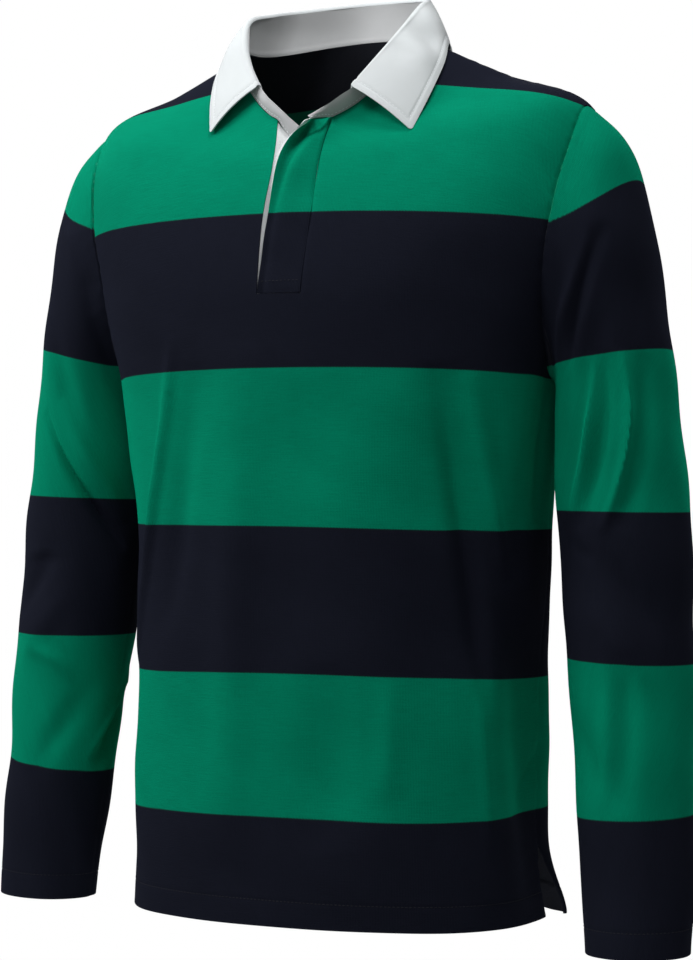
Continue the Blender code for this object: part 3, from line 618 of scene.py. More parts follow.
def finish_panel(name, t, angle, flare, keep, jersey):
    """A body panel's shell from its rings and angles, with its seams, hem and relief."""
    base = torso_surface(t, angle)
    across, up = lengths(base, 1), lengths(base, 0)
    to_seam = np.minimum(across, across[:, -1:] - across)
    relief = torso_relief(t, angle, base[..., 2])
    relief += groove(to_seam, *SEAM_DIP) + pucker(up, to_seam) * ease(up / 0.03)
    relief += groove(up - HEM, *STITCH_DIP)
    if keep is not None:
        beside = across - across[:, NOTCH_COLUMN:NOTCH_COLUMN + 1]
        relief += groove(beside, 0.0007, 0.0016) * (t >= NOTCH_BOTTOM)
    outer = base + torso_normal(t, angle) * relief[..., None] + flare
    normals = grid_normals(outer)
    inner = outer - normals * hem_depth(up)[..., None]
    cloth = np.stack((across - across[:, -1:] / 2, up), -1)
    piece = make_shell(name, outer, inner, cloth, torso_stripes(angle, base[..., 2]), jersey, keep)
    return piece, outer, normals


def make_front(jersey):
    """The front, cut out at its armholes, along its neckline and for the placket."""
    rows = torso_rows()
    end = panel_edge(rows, -ARMHOLE_FRONT_CUT, -vent_gap(rows))[:, None]
    shape = opening(rows)
    right, left = (angle_at(rows, shape[:, k])[:, None] for k in (0, 1))
    side = spaced(SIDE_COLUMNS, 0.4)
    middle = np.linspace(0, 1, NOTCH_CELLS + 1)[1:-1]
    parts = (-end + (right + end) * side, right + (left - right) * middle, left + (end - left) * side)
    angle = np.concatenate(parts, 1)
    t = np.broadcast_to(rows[:, None], angle.shape)
    cells = np.ones((len(rows) - 1, angle.shape[1] - 1), bool)
    cells[rows[:-1] >= NOTCH_BOTTOM, SIDE_COLUMNS - 1:NOTCH_COLUMN] = False
    return finish_panel("front_cloth", t, angle, 0.0, cells, jersey)


def make_back(jersey):
    """The back, whose hem flares a little beside the vents."""
    rows = torso_rows()
    edge = panel_edge(rows, ARMHOLE_BACK_CUT, vent_gap(rows))[:, None]
    angle = edge + (360 - 2 * edge) * spaced(BACK_COLUMNS, 0.35)
    t = np.broadcast_to(rows[:, None], angle.shape)
    wrapped = np.where(angle > 180, angle - 360, angle)
    base = torso_surface(t, wrapped)
    near = np.radians(np.minimum(angle - edge, 360 - edge - angle)) * TORSO[0, 3]
    drop = ease((VENT_TOP - base[..., 2]) / (VENT_TOP - TORSO[0, 1])) * bell(near, 0.035)
    way = np.where(base[..., 0] > 0, 1.0, -1.0)
    flare = xyz(way * VENT_FLARE_OUT, VENT_FLARE_BACK, 0.0) * drop[..., None]
    return finish_panel("back_cloth", t, wrapped, flare, None, jersey)


def armhole_loop(side, count):
    """An armhole's points from the shoulder point down the front and up the back, with the directions
    square to the shirt there. The right one comes mirrored, as if it were on the left."""
    half = count // 2
    steps = UNDERARM + (SHOULDER - UNDERARM) * (1 - np.cos(np.pi * np.arange(half + 1) / half)) / 2
    front = panel_edge(steps, -ARMHOLE_FRONT_CUT, SEAM_GAP / 2)
    back = panel_edge(steps, ARMHOLE_BACK_CUT, -SEAM_GAP / 2)
    front[[0, -1]] = seam_angle(steps[[0, -1]])
    t = np.concatenate((steps[::-1], steps[1:-1]))
    angle = side * np.concatenate((front[::-1], back[1:-1]))
    base, normal = torso_surface(t, angle), torso_normal(t, angle)
    relief = torso_relief(t, angle, base[..., 2]) - SEAM_DIP[0]
    mirror = np.array((side, 1.0, 1.0))
    return base * mirror, (base + normal * relief[..., None]) * mirror, normal * mirror


def sleeve_form(side, rows, count):
    """A sleeve's points at fractional rings, round from the outer line over the front, as on the left."""
    loop, dressed, outward = armhole_loop(side, count)
    tip, under = loop[0], loop[count // 2]
    half = (tip - under) / 2
    to = loop - (tip + under) / 2
    local_u, local_y, local_w = to @ half / (half @ half), to[:, 1], to @ unit(xyz(-half[2], 0.0, half[0]))
    outer_x, outer_z, inner_x, inner_z, y_middle, depth, left = curve(SLEEVE, rows).T
    outer, inner = xyz(outer_x, y_middle, outer_z), xyz(inner_x, y_middle, inner_z)
    centre, half = (outer + inner)[:, None] / 2, (outer - inner)[:, None] / 2
    turned = unit(xyz(-half[..., 2], 0.0, half[..., 0]))
    blend = ease(left)[:, None]
    angle = 2 * np.pi * np.arange(count) / count
    u = local_u + (np.cos(angle) - local_u) * blend
    y = local_y + (-np.sin(angle) * depth[:, None] - local_y) * blend
    points = centre + half * u[..., None] + turned * (local_w * (1 - blend))[..., None] + xyz(0.0, y, 0.0)
    degrees = np.degrees(angle)
    around = np.where(degrees <= 180, degrees, degrees - 360) + np.zeros(y.shape)
    rise = fold_depth(SLEEVE_FOLDS, around, points[..., 2], SLEEVE_FOLD_RADIUS)
    points = points + unit(points - centre) * rise[..., None]
    points[0] = loop
    return points, dressed, outward


def placed_on(points, side):
    """Points of the left sleeve, or their mirror image on the right, lifted and drawn in towards the
    cuff."""
    if side > 0:
        return points
    x, y, z = np.moveaxis(points, -1, 0)
    share = np.maximum(0.0, (RIGHT_SLEEVE_FROM - z) / (RIGHT_SLEEVE_FROM - SLEEVE[-1, 1]))
    return xyz(RIGHT_SLEEVE_IN * share - x, y, z + RIGHT_SLEEVE_LIFT * share)


def sleeve_rows():
    """The fractional rings of a sleeve's rows, finer at the cuff."""
    counts = (12, 12, 15, 21, 19, 18, 21, 22, 22)
    rows = [i + np.arange(count) / count for i, count in enumerate(counts)]
    return np.concatenate((*rows, 9 + np.arange(18) / 18 * 0.68, 9.68 + np.linspace(0, 1, 20) * 0.32))


def joined_normals(grid):
    """The normals of a grid whose first and last columns meet."""
    normal = grid_normals(grid)
    normal[:, 0] = normal[:, -1] = unit(normal[:, 0] + normal[:, -1])
    return normal


def make_sleeve(name, side, creases, stripes, jersey):
    """A set-in sleeve, on the wearer's left where side is 1 and on the right where it is -1."""
    count = SLEEVE_COLUMNS
    points, dressed, outward = sleeve_form(side, sleeve_rows(), count)
    order = np.arange(count // 2, count + count // 2 + 1) % count
    base, first, outward = points[:, order], dressed[order], outward[order]
    around = np.linspace(-180, 180, count + 1) + np.zeros(base.shape[:2])
    across, down = lengths(base, 1), lengths(base, 0)
    to_cuff = down[-1:] - down
    to_seam = np.minimum(across, across[:, -1:] - across)
    z = base[..., 2]
    relief = fold_depth(creases, around, z, SLEEVE_FOLD_RADIUS, 0.8)
    rolling = waves(np.radians(around) * SLEEVE_FOLD_RADIUS, z * side, SLEEVE_WAVES) * ease(down / 0.05)
    both = (rolling[:, :1] + rolling[:, -1:]) / 2
    relief += rolling + (both - rolling) * (1 - ease(to_seam / 0.03)) + pucker(across, down)
    relief += groove(down, *SEAM_DIP) + groove(to_seam, *SEAM_DIP) + groove(to_cuff - HEM, *STITCH_DIP)
    outer = base + joined_normals(base) * relief[..., None]
    fade = (1 - ease(down / 0.02))[..., None]
    outer = outer + (first - outer[:1]) * fade
    normal = joined_normals(outer)
    inner = outer - unit(normal * (1 - fade) + outward * fade) * hem_depth(to_cuff)[..., None]
    cloth = np.stack((across - across[:, -1:] / 2, -down), -1)
    outer, inner = placed_on(outer, side), placed_on(inner, side)
    piece = make_shell(name, outer, inner, cloth, sleeve_stripes(stripes, around, z), jersey)
    return piece, outer, normal * np.array((side, 1.0, 1.0))


def upper_grid(rows, columns):
    """The upper placket's outer face, from its seam on the wearer's left to its free edge."""
    shape = opening(rows)
    seam = torso_point(rows, angle_at(rows, shape[:, 1] - SEAM_GAP))
    free = torso_surface(rows, angle_at(rows, shape[:, 2])) + shape[:, 3:4] * np.array((0, -1.0, 0))
    control = (seam + free) / 2 + shape[:, 4:5] * np.array((-0.5, -1.0, 0))
    f = columns[None, :, None]
    return seam[:, None] * (1 - f) ** 2 + control[:, None] * (2 * f * (1 - f)) + free[:, None] * f * f


def placket_rows():
    """The fractional rings of the placket, from just above the notch's bottom to the neckline."""
    return np.concatenate(([5.004], np.linspace(5.03, 7.0, 64)[:-1], np.linspace(7.0, 9.0, 40)))


def upper_relief(rows, across, up):
    """The upper placket's seam, the soft fold along its free edge and the dip below the stand."""
    to_free, below = across[:, -1:] - across, up[-1:] - up
    shown = 0.3 + 0.7 * ease((rows[:, None] - 6.1) / 0.8)
    high = ease((rows[:, None] - 5.8) / 2.6)
    relief = (groove(across, 0.0010, 0.0012) + 0.0003 * bell(to_free, 0.003)) * shown
    relief += waves(across, up, PLACKET_WAVES)
    relief += groove(to_free - 0.0045 - 0.0040 * high, 0.0014 + 0.0062 * high, 0.0034 + 0.0034 * high)
    relief += 0.0022 * high * bell(to_free, 0.0035)
    return relief + groove(below - 0.0090, 0.0036, 0.0080) * ease(to_free / 0.006) * ease(across / 0.006)


def make_upper_placket(jersey, twill):
    """The placket that lies on top, and the white facing on its inner side, which shows past its free
    edge."""
    rows = placket_rows()
    form = upper_grid(rows, spaced(25, 0.6))
    outward = -grid_normals(form)
    cloth = np.stack((lengths(form, 1), lengths(form, 0)), -1)
    outer = form + outward * upper_relief(rows, cloth[..., 0], cloth[..., 1])[..., None]
    inner = outer - outward * (TWILL - 0.0001)
    x, y, z = np.moveaxis(outer, -1, 0)
    stripe = torso_stripes(np.degrees(np.arctan2(x / PLACKET_HALF_WIDTH, -y / PLACKET_REACH)), z)
    upper = make_shell("placket_upper_cloth", outer, inner, cloth, stripe, jersey)
    wider = 0.45 + 0.55 * ease((rows - 6.4) / 1.6)
    show = FACING_SHOW * wider * ease((rows - NOTCH_BOTTOM - 0.4) / 1.3)
    past = unit(form[:, -1] - form[:, -2]) * show[:, None]
    layers = []
    for depth in (TWILL + FACING_GAP, TWILL + FACING_GAP + FACING):
        grid = outer - outward * depth
        grid[:, -2:] += past[:, None] * np.array((0.6, 1.0))[:, None]
        layers.append(grid)
    facing = make_shell("placket_facing_cloth", *layers, cloth, stripe, twill)
    return upper, facing, outer, outward


def under_point(t, x, inward=0.0):
    """The under placket's outer face: behind the front's edge, and deeper where the upper placket lies."""
    edge = opening(t)[..., 0]
    lap = JERSEY + SEAM_GAP
    dip = UNDER_DIP + (0.0026 - UNDER_DIP) * ease((t - 7.6) / 1.1)
    depth = lap + (dip - lap) * ease((x - edge + 0.001) / 0.005)
    drop = UNDER_SLOPE * np.maximum(0.0, x - edge) * ease((t - 6) / 3)
    return torso_point(t, angle_at(t, x), depth + inward) - xyz(0.0, 0.0, drop)


def make_under_placket(twill):
    """The white placket that is sewn to the wearer's right edge and lies underneath."""
    rows = np.unique(np.minimum(placket_rows(), NECKLINE - 0.05))
    places = np.concatenate((np.linspace(-0.005, 0.006, 12), np.linspace(0.008, 0.0315, 14)))
    x = opening(rows)[:, :1] + places
    t = np.broadcast_to(rows[:, None], x.shape)
    outer, inner = under_point(t, x), under_point(t, x, TWILL)
    cloth = np.stack((lengths(outer, 1), lengths(outer, 0)), -1)
    piece = make_shell("placket_under_cloth", outer, inner, cloth, np.zeros(t.shape), twill)
    return piece, outer, grid_normals(outer)


def neck_angles():
    """The angles along the neckline of the collar's stations, from the right placket edge round to the
    left."""
    right, left = (angle_at(9.0, opening(9.0)[k]) for k in (0, 1))
    shares = np.arange(PANEL_STEPS + 1) / PANEL_STEPS
    first = right + (-SHOULDER_SEAM - right) * shares
    back = -SHOULDER_SEAM - (360 - 2 * SHOULDER_SEAM) * np.arange(1, BACK_STEPS) / BACK_STEPS
    last = SHOULDER_SEAM + (left - SHOULDER_SEAM) * shares - 360
    return np.concatenate((first, back, last))


def collar_row(turned):
    """The collar's fold and edge above the points of the neckline at these angles, which run from the right
    front through -180 at the back to the left front."""
    rows = np.zeros((*turned.shape, 7))
    right = turned > -180
    for table, chosen, around in ((COLLAR_RIGHT, right, -turned), (COLLAR_LEFT, ~right, turned + 360)):
        stations = table[:, 0]
        place = np.interp(-around, -stations[1:], np.arange(1, len(stations)))
        beyond = np.minimum(0.0, around - stations[-1]) / (stations[-2] - stations[-1])
        rows = np.where(chosen[..., None], curve(table, place - beyond), rows)
    return rows[..., 1:4], rows[..., 4:7]


def neck_out(turned):
    """The level directions that point out of the neck opening at these angles."""
    turn = np.radians(turned)
    return unit(xyz(np.sin(turn) * TORSO[NECKLINE, 4], -np.cos(turn) * TORSO[NECKLINE, 3], 0.0))


def stand_pairs():
    """The stand's sewn edge, top edge and outward direction at its stations, from right to left."""
    lift = np.array((0, 0, SEAM_GAP))
    top = NECKLINE - 0.05
    starts = opening(top)[0] + np.array(UNDER_STATIONS)
    under = under_point(np.full(4, top), starts) + lift
    turned = neck_angles()
    wrapped = np.where(turned < -180, turned + 360, turned)
    seams = torso_point(np.full(len(turned), NECKLINE + 0.004), wrapped)
    folds, outs = collar_row(turned)[0], neck_out(turned)
    folds[:LEAF_FIRST_RIGHT] = STAND_RIGHT[LEAF_FIRST_RIGHT - 1::-1]
    folds[-LEAF_FIRST_LEFT:] = STAND_LEFT[:LEAF_FIRST_LEFT]
    below, last = upper_grid(np.array((8.9, 9.0)), np.linspace(0, 1, 6))
    outward = unit(np.cross(np.gradient(last, axis=0), below - last))
    seams = np.concatenate((under, seams, last[1:] + lift))
    folds = np.concatenate((STAND_RIGHT[:LEAF_FIRST_RIGHT - 1:-1], folds, STAND_LEFT[LEAF_FIRST_LEFT:]))
    return seams, folds, np.concatenate((np.tile((0, -1.0, 0), (4, 1)), outs, outward[1:]))


def make_stand(twill):
    """The collar stand, from its end on the under placket round the neck to its end on the upper
    placket."""
    seams, folds, outs = stand_pairs()
    place = np.linspace(0, len(seams) - 1, (len(seams) - 1) * 6 + 1)
    seams, folds, outs = curve(seams, place), curve(folds, place), unit(curve(outs, place))
    share = spaced(18)[:, None, None]
    form = seams + (folds - seams) * share
    along, down = lengths(form, 1), lengths(form, 0)
    relief = groove(down - STAND_ROW, 0.00035, 0.0011) + waves(along, down, STAND_WAVES)
    relief += 0.0012 * np.sin(np.pi * share[..., 0])
    outer = form + outs * relief[..., None]
    cloth = np.stack((along, down), -1)
    inner = outer - outs * TWILL
    piece = make_shell("collar_stand_cloth", outer, inner, cloth, np.zeros(along.shape), twill)
    return piece, outer, np.broadcast_to(outs, outer.shape)


def round_corners(form, radius):
    """Draw in a grid's last row near both its ends, so that its two points are slightly round."""
    along, down = lengths(form, 1), lengths(form, 0)
    fall, side = unit(np.gradient(form, axis=0)), unit(np.gradient(form, axis=1))
    for to_end, way in ((along, -1), (along[:, -1:] - along, 1)):
        a = np.maximum(0.0, 1 - (down[-1:] - down) / radius)
        b = np.maximum(0.0, 1 - to_end / radius)
        shift_a = radius * a * (np.sqrt(1 - b * b / 2) - 1)
        shift_b = radius * b * (np.sqrt(1 - a * a / 2) - 1) * way
        form = form + fall * shift_a[..., None] + side * shift_b[..., None]
    return form


def leaf_form(turned):
    """The leaf's surface: its roll at the fold, then its fall to the edge, and the level outward
    directions."""
    fold, edge = collar_row(turned)
    out = neck_out(turned)
    up = np.array((0, 0, 1.0))
    centre = fold + out * (LEAF_ROLL - TWILL) + up * SEAM_GAP
    turns = np.radians(np.linspace(180, 20, 15))[:, None, None]
    roll = centre + (out * np.cos(turns) + up * np.sin(turns)) * LEAF_ROLL
    f = np.concatenate((np.linspace(0, 0.84, 19)[1:], np.linspace(0.84, 1, 17)[1:]))[:, None, None]
    fall = roll[-1] + (edge - roll[-1]) * f + (out + up) * (LEAF_CROWN * 4 * f * (1 - f))
    return round_corners(np.concatenate((roll, fall)), POINT_RADIUS), out


def make_leaf(twill):
    """The collar leaf, which rolls over at the fold and falls to its edge and its two points."""
    stations = neck_angles()[LEAF_FIRST_RIGHT:-LEAF_FIRST_LEFT]
    form, out = leaf_form(stations[0] + (stations[-1] - stations[0]) * spaced(330))
    outward = -grid_normals(form)
    if np.mean(np.sum(outward[20] * out, -1)) < 0:
        outward = -outward
    along, down = lengths(form, 1), lengths(form, 0)
    near = np.minimum(down[-1:] - down, np.minimum(along, along[:, -1:] - along))
    relief = np.zeros(along.shape)
    for centre, depth_at, width, height, size in LEAF_DENTS:
        relief += size * bell(along[15:16] - centre, width) * bell(down - depth_at, height)
    relief *= ease(near / 0.02) * ease(down / 0.01)
    relief += groove(near - LEAF_ROW, 0.00045, 0.0012) + 0.0002 * bell(near - 0.0032, 0.0022)
    outer = form + outward * relief[..., None]
    thick = (TWILL + 0.0005) * (0.35 + 0.65 * ease(near / 0.0016)) + 0.0002
    inner = outer - outward * thick[..., None]
    cloth = np.stack((along, down), -1)
    piece = make_shell("collar_leaf_cloth", outer, inner, cloth, np.zeros(along.shape), twill)
    return piece, outer, outward


def between(places, far, rows):
    """Rows of three numbers, at places between the lengths at which they stand."""
    return np.stack([np.interp(places, far, rows[:, k]) for k in range(3)], -1)


def line_at(grid, normals, distance, axis, from_end=False, first=0, last=None):
    """The line of a grid that keeps a distance from its first or last row or column."""
    far = lengths(grid, axis)
    if axis == 0:
        grid, normals, far = grid.transpose(1, 0, 2), normals.transpose(1, 0, 2), far.T
    if from_end:
        grid, normals, far = grid[:, ::-1], normals[:, ::-1], (far[:, -1:] - far)[:, ::-1]
    rows = list(zip(grid, normals, far))[first:last]
    points = [between(distance, place, row) for row, _, place in rows]
    return np.array(points), unit(np.array([between(distance, place, lean) for _, lean, place in rows]))


def lathe(profile, count):
    """Points and faces of a form turned about Z, closed at both ends, from its radii and heights."""
    turns = 2 * math.pi * np.arange(count) / count
    rings = [(r * math.cos(turn), r * math.sin(turn), h) for r, h in profile[1:-1] for turn in turns]
    points = [(0, 0, profile[0][1]), *rings, (0, 0, profile[-1][1])]
    end = len(points) - 1
    faces = []
    for k in range(count):
        j = (k + 1) % count
        faces.append((0, 1 + j, 1 + k))
        faces += [(a + k, a + j, a + count + j, a + count + k) for a in range(1, end - count, count)]
        faces.append((end - count + k, end - count + j, end))
    return points, faces


def make_stitches(name, lines, material):
    """Rows of small stitches, each a spindle of thread that dips into the cloth at both ends."""
    spindle, sides = lathe(((0, -0.5), (0.85, -0.3), (1.0, 0.0), (0.85, 0.3), (0, 0.5)), 6)
    x, y, z = np.array(spindle).T[..., None]
    rise = np.repeat((-0.6, 0.25, 0.6, 0.25, -0.6), (1, 6, 6, 6, 1))[:, None]
    points = []
    for line, normals in lines:
        far = np.concatenate(([0], np.cumsum(np.linalg.norm(np.diff(line, axis=0), axis=1))))
        count = max(2, int(far[-1] / STITCH_PITCH))
        places = (np.arange(count) + 0.5) * far[-1] / count
        ahead = between(places + 0.0005, far, line) - between(places - 0.0005, far, line)
        here, way, up = between(places, far, line), unit(ahead), unit(between(places, far, normals))
        side = unit(np.cross(up, way))
        spun = side[:, None] * x + up[:, None] * (y + rise)
        points.append(here[:, None] + spun * STITCH_RADIUS + way[:, None] * z * STITCH_LENGTH)
    points = np.concatenate(points).reshape(-1, 3)
    starts = range(0, len(points), len(spindle))
    faces = [[start + corner for corner in face] for start in starts for face in sides]
    return new_piece(name, points.tolist(), faces, material)


def feed(node, inputs):
    """Link or set a node's inputs."""
    for key, value in inputs.items():
        if isinstance(value, bpy.types.NodeSocket):
            node.id_data.links.new(value, node.inputs[key])
        else:
            node.inputs[key].default_value = value


def node_maker(owner):
    """A short way to add linked nodes to a material or a world, and one to add Math nodes."""

    def add(kind, inputs=(), **settings):
        node = owner.node_tree.nodes.new("ShaderNode" + kind)
        for key, value in settings.items():
            setattr(node, key, value)
        feed(node, dict(inputs))
        return node

    def calc(operation, *values):
        return add("Math", enumerate(values), operation=operation).outputs[0]

    return add, calc


def new_material(name):
    """A material with its shader and node makers."""
    material = bpy.data.materials.new(name)
    material.use_nodes = True
    return material, material.node_tree.nodes["Principled BSDF"], *node_maker(material)


def noise(add, vector, scale, detail, dimensions="2D", roughness=0.5):
    """The value of a noise that changes over the places in vector."""
    inputs = {"Vector": vector, "Scale": scale, "Detail": detail, "Roughness": roughness}
    return add("TexNoise", inputs, noise_dimensions=dimensions).outputs["Fac"]


def scaled(add, colour, scale):
    """A colour times a number."""
    return add("VectorMath", {0: colour, "Scale": scale}, operation="SCALE").outputs[0]


def surface(shader, add, paint, height, strength, distance, rough):
    """Set a shader's colour, the bump that its heights make, and its roughness."""
    bump = add("Bump", {"Height": height, "Strength": strength, "Distance": distance}).outputs[0]
    feed(shader, {"Base Color": paint, "Normal": bump, "Roughness": rough})


def jersey_material():
    """Striped cotton jersey: knitted courses and wales, slubs, a soft worn unevenness of its dye, and painted
    fill light that makes its inner faces paler.
    """
    material, shader, add, calc = new_material("striped jersey")
    cloth = add("UVMap", uv_map="cloth").outputs["UV"]
    u, v, _ = add("SeparateXYZ", {0: cloth}).outputs
    stripe = add("Attribute", attribute_name="stripe").outputs["Fac"]
    reverse = add("Attribute", attribute_name="reverse").outputs["Fac"]
    wale = calc("SINE", calc("MULTIPLY", u, 2 * math.pi / WALE))
    course = calc("SINE", calc("MULTIPLY", v, 2 * math.pi / COURSE))
    turn = calc("SINE", calc("MULTIPLY", calc("MULTIPLY_ADD", wale, 0.0016, stripe), math.pi))
    share = add("MapRange", enumerate((turn, -0.010, 0.010, 1.0, 0.0))).outputs[0]
    slub = noise(add, add("Mapping", {"Vector": cloth, "Scale": (55.0, 1300.0, 1.0)}).outputs[0], 1.0, 2.0)
    cloud = noise(add, cloth, 34.0, 5.0, roughness=0.62)
    fine = noise(add, cloth, 700.0, 2.0)
    tone = calc("MULTIPLY_ADD", slub, 0.34, calc("MULTIPLY_ADD", cloud, 0.20, 0.60))
    tone = calc("MULTIPLY_ADD", fine, 0.26, tone)
    tone = add("MapRange", enumerate((tone, 0.80, 1.20, 0.84, 1.16))).outputs[0]
    dyed = add("Mix", {0: share, 6: (*NAVY, 1), 7: (*GREEN, 1)}, data_type="RGBA").outputs[2]
    # Painted fill light: the inner faces get extra colour, lightening the shade inside the neck
    painted_fill = scaled(add, REVERSE_PAINTED_FILL, reverse)
    both = add("VectorMath", {0: dyed, 1: painted_fill}, operation="ADD").outputs[0]
    knit = calc("MULTIPLY", wale, calc("MULTIPLY_ADD", course, 0.35, 1.0))
    height = calc("MULTIPLY_ADD", knit, 0.5, calc("MULTIPLY", slub, 1.1))
    height = calc("MULTIPLY_ADD", fine, 0.8, height)
    rough = calc("MULTIPLY_ADD", slub, 0.10, 0.84)
    surface(shader, add, scaled(add, both, tone), height, 0.55, 0.00022, rough)
    shader.inputs["Specular IOR Level"].default_value = 0.02
    shader.inputs["Sheen Weight"].default_value = 0.36
    shader.inputs["Sheen Roughness"].default_value = 0.35
    shader.inputs["Sheen Tint"].default_value = (0.03, 0.12, 0.09, 1)
    feed(shader, {"Sheen Tint": scaled(add, dyed, 3.0)})
    return material


def twill_material(name, colour):
    """White cotton twill, with its fine slanting ribs."""
    material, shader, add, calc = new_material(name)
    cloth = add("UVMap", uv_map="cloth").outputs["UV"]
    u, v, _ = add("SeparateXYZ", {0: cloth}).outputs
    rib = calc("SINE", calc("MULTIPLY", calc("MULTIPLY_ADD", v, 0.9, u), 2 * math.pi / RIB))
    thread = calc("SINE", calc("MULTIPLY", v, 2 * math.pi / WEFT))
    fine = noise(add, cloth, 900.0, 1.0)
    tone = calc("MULTIPLY_ADD", noise(add, cloth, 60.0, 4.0), 0.05, 0.955)
    tone = calc("MULTIPLY_ADD", rib, 0.012, tone)
    height = calc("MULTIPLY_ADD", thread, 0.3, calc("ADD", rib, fine))
    rough = calc("MULTIPLY_ADD", fine, 0.10, 0.78)
    surface(shader, add, scaled(add, colour, tone), height, 0.35, 0.00012, rough)
    shader.inputs["Specular IOR Level"].default_value = 0.22
    shader.inputs["Sheen Weight"].default_value = 0.08
    return material


def thread_material(name, colour):
    """Sewing thread, twisted from two strands."""
    material, shader, add, calc = new_material(name)
    grain = noise(add, add("TexCoord").outputs["Object"], 2500.0, 1.0, "3D")
    paint = scaled(add, colour, calc("MULTIPLY_ADD", grain, 0.3, 0.85))
    surface(shader, add, paint, grain, 0.3, 0.0001, 0.6)
    shader.inputs["Specular IOR Level"].default_value = 0.3
    return material


def rubber_material():
    """The buttons' matt white rubber."""
    material, shader, add, calc = new_material("white rubber")
    grain = noise(add, add("TexCoord").outputs["Object"], 420.0, 3.0, "3D")
    paint = scaled(add, RUBBER, calc("MULTIPLY_ADD", grain, 0.06, 0.95))
    surface(shader, add, paint, grain, 0.15, 0.0001, calc("MULTIPLY_ADD", grain, 0.12, 0.42))
    return material


def drill(button, radius, spread):
    """Cut four holes through a button that lies at the origin."""
    cutters = []
    for k in range(4):
        turn = math.pi * (k / 2 + 0.25)
        spot = (spread * math.cos(turn), spread * math.sin(turn), 0)
        bpy.ops.mesh.primitive_cylinder_add(vertices=14, radius=radius, depth=0.01, location=spot)
        cutters.append(bpy.context.object)
        cut = button.modifiers.new("hole", "BOOLEAN")
        cut.operation, cut.solver, cut.object = "DIFFERENCE", "EXACT", cutters[-1]
    graph = bpy.context.evaluated_depsgraph_get()
    finished = bpy.data.meshes.new_from_object(button.evaluated_get(graph))
    button.modifiers.clear()
    button.data = finished
    for cutter in cutters:
        bpy.data.objects.remove(cutter)
    finished.shade_smooth()
    finished.set_sharp_from_angle(angle=math.radians(40))


def make_button(name, t, rubber):
    """A small four-hole rubber button with a rounded rim and a shallow well, on the under placket."""
    at, x = np.full(1, t), np.full(1, BUTTON_X)
    face = under_point(at, x)[0]
    beside, above = under_point(at, x + 0.004)[0], under_point(at + 0.05, x)[0]
    normal = Vector(unit(np.cross(beside - face, above - face)))
    profile = [(r * BUTTON_RADIUS, h * BUTTON_THICKNESS / 2) for r, h in BUTTON_PROFILE]
    button = new_piece(name, *lathe(profile, 40), rubber)
    drill(button, 0.12 * BUTTON_RADIUS, 0.30 * BUTTON_RADIUS)
    button.location = Vector(face) + normal * (BUTTON_GAP + BUTTON_THICKNESS / 2)
    button.rotation_mode = "QUATERNION"
    button.rotation_quaternion = normal.to_track_quat("Z", "Y")
    return button


def make_camera():
    """A camera at the photo's viewing angle."""
    turn = math.radians(CAMERA_AZIMUTH)
    way = Vector((-math.sin(turn), math.cos(turn), 0))
    data = bpy.data.cameras.new("camera")
    data.sensor_width = SENSOR
    data.lens = FOCAL_PIXELS / FRAME_HEIGHT * SENSOR
    data.shift_x = (FRAME_WIDTH / 2 - CENTRE_X) / FRAME_HEIGHT
    data.shift_y = (CENTRE_Y - FRAME_HEIGHT / 2) / FRAME_HEIGHT
    data.clip_start, data.clip_end = 0.05, 50
    camera = bpy.data.objects.new("camera", data)
    camera.location = Vector((0, 0, CAMERA_HEIGHT)) - way * CAMERA_DISTANCE
    camera.rotation_euler = way.to_track_quat("-Z", "Y").to_euler()
    bpy.context.scene.collection.objects.link(camera)
    bpy.context.scene.camera = camera


def make_light(name, spot, aim, size, power):
    """A square soft light."""
    data = bpy.data.lights.new(name, "AREA")
    data.shape, data.size, data.energy = "SQUARE", size, power
    light = bpy.data.objects.new(name, data)
    light.location = spot
    light.rotation_euler = (Vector(aim) - Vector(spot)).to_track_quat("-Z", "Y").to_euler()
    light.visible_camera = False
    bpy.context.scene.collection.objects.link(light)


def make_world():
    """Even white behind the shirt, and soft light that is brighter from above, in front and on its right
    side."""
    world = bpy.data.worlds.new("studio")
    world.use_nodes = True
    bpy.context.scene.world = world
    world.node_tree.nodes.clear()
    add, _ = node_maker(world)
    way = add("TexCoord").outputs["Generated"]
    toward = add("VectorMath", {0: way, 1: WORLD_BRIGHT_SIDE}, operation="DOT_PRODUCT").outputs["Value"]
    level = add("MapRange", enumerate((toward, -1.0, 1.0, WORLD_LOW, WORLD_HIGH))).outputs[0]
    soft, plain = (add("Background", {0: (1, 1, 1, 1), 1: strength}).outputs[0] for strength in (level, 1.0))
    seen = add("LightPath").outputs["Is Camera Ray"]
    add("OutputWorld", {0: add("MixShader", {0: seen, 1: soft, 2: plain}).outputs[0]})


def make_floor():
    """A plain pale floor well below the shirt."""
    material, shader, add, calc = new_material("pale floor")
    cloud = noise(add, add("TexCoord").outputs["Generated"], 3.0, 3.0, "3D")
    paint = scaled(add, FLOOR_PALE, calc("MULTIPLY_ADD", cloud, 0.02, 0.93))
    feed(shader, {"Base Color": paint, "Roughness": 0.9})
    turns = 2 * np.pi * np.arange(96) / 96
    ring = xyz(FLOOR_RADIUS * np.cos(turns), FLOOR_RADIUS * np.sin(turns), FLOOR_HEIGHT)
    new_piece("floor", ring.tolist(), [list(range(96))], material)


def declare(piece, node):
    """Hang a piece on the root and hide the solid that it stands for."""
    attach(piece, "root")
    if node:
        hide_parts(node)


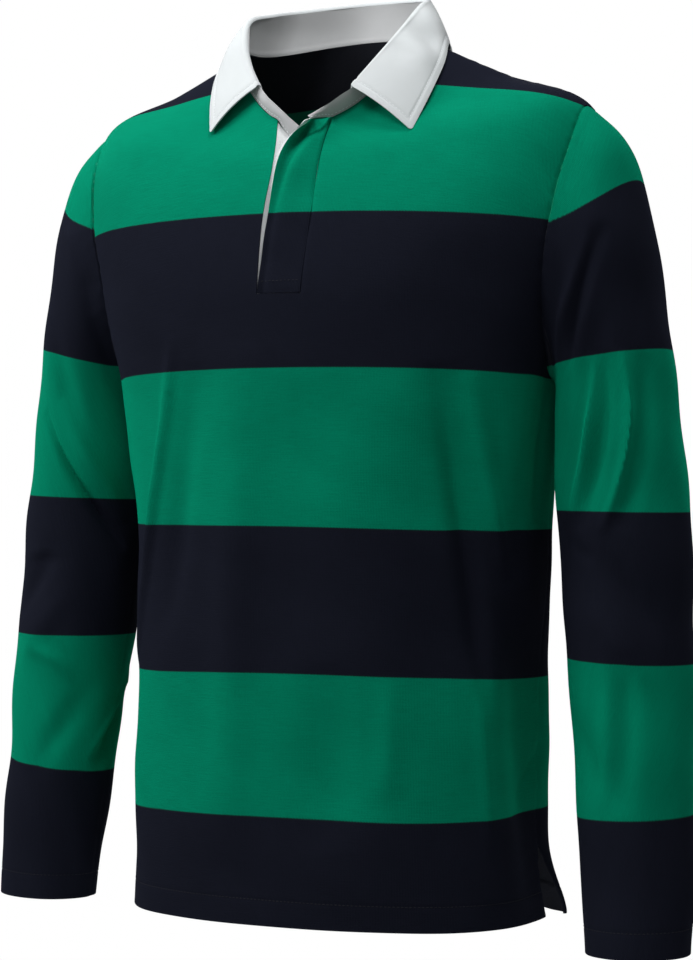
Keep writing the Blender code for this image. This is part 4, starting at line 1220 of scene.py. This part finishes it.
def sew(front, back, left, right, upper, under, stand, leaf):
    """The rows of stitches on the pieces, each given with its outer grid and normals."""
    navy_thread = thread_material("navy thread", NAVY_THREAD)
    white_thread = thread_material("white thread", WHITE_THREAD)
    hem = [line_at(*front, HEM, 0), line_at(*back, HEM, 0)]
    short = [part[14:-8] for part in leaf]
    leaf_rows = [line_at(*leaf, LEAF_ROW, 0, True, 8, -8), line_at(*short, LEAF_ROW, 1),
                 line_at(*short, LEAF_ROW, 1, True)]
    placket_row = [line_at(*upper, PLACKET_ROW, 0, False, 2, -2)]
    for name, lines, thread, slot in (
        ("hem_stitches", hem, navy_thread, "striped_jersey"),
        ("cuff_stitches_left", [line_at(*left, HEM, 0, True)], navy_thread, "striped_jersey"),
        ("cuff_stitches_right", [line_at(*right, HEM, 0, True)], navy_thread, "striped_jersey"),
        ("placket_stitches", placket_row, navy_thread, "striped_jersey"),
        ("leaf_stitches", leaf_rows, white_thread, "white_twill"),
        ("stand_stitches", [line_at(*stand, STAND_ROW, 0)], white_thread, "white_twill"),
        ("under_stitches", [line_at(*under, UNDER_ROW, 1)], white_thread, "white_twill"),
    ):
        declare(make_stitches(name, lines, thread), None)


def main():
    """Dress the frame."""
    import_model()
    bpy.context.scene.view_settings.view_transform = "Standard"
    make_camera()
    make_world()
    for light in LIGHTS:
        make_light(*light)
    make_floor()
    jersey = jersey_material()
    twill = twill_material("white twill", WHITE)
    # The stand's twill is darker than the leaf's: partly its own greyer white, partly painted shade
    stand_twill = twill_material("collar stand twill", STAND_WHITE_AND_SHADE)
    # Painted light: the plackets and the facing use a brighter copy of the white twill
    placket_lit_twill = twill_material("placket twill painted light", PLACKET_WHITE_PAINTED_LIGHT)
    rubber = rubber_material()

    front, *front_face = make_front(jersey)
    back, *back_face = make_back(jersey)
    left, *left_face = make_sleeve("sleeve_left_cloth", 1, LEFT_SLEEVE_CREASES, STRIPES_LEFT, jersey)
    right, *right_face = make_sleeve("sleeve_right_cloth", -1, RIGHT_SLEEVE_CREASES, STRIPES_RIGHT, jersey)
    upper, facing, *upper_face = make_upper_placket(jersey, placket_lit_twill)
    under, *under_face = make_under_placket(placket_lit_twill)
    stand, *stand_face = make_stand(stand_twill)
    leaf, *leaf_face = make_leaf(twill)
    sew(front_face, back_face, left_face, right_face, upper_face, under_face, stand_face, leaf_face)

    declare(front, "front")
    declare(back, "back")
    declare(left, "sleeve_left")
    declare(right, "sleeve_right")
    declare(upper, "placket_upper")
    declare(facing, "placket_facing")
    declare(under, "placket_under")
    declare(stand, "collar_stand")
    declare(leaf, "collar_leaf")
    for number, t in enumerate(BUTTONS, 1):
        declare(make_button(f"rubber_button_{number}", t, rubber), f"button_{number}")


main()
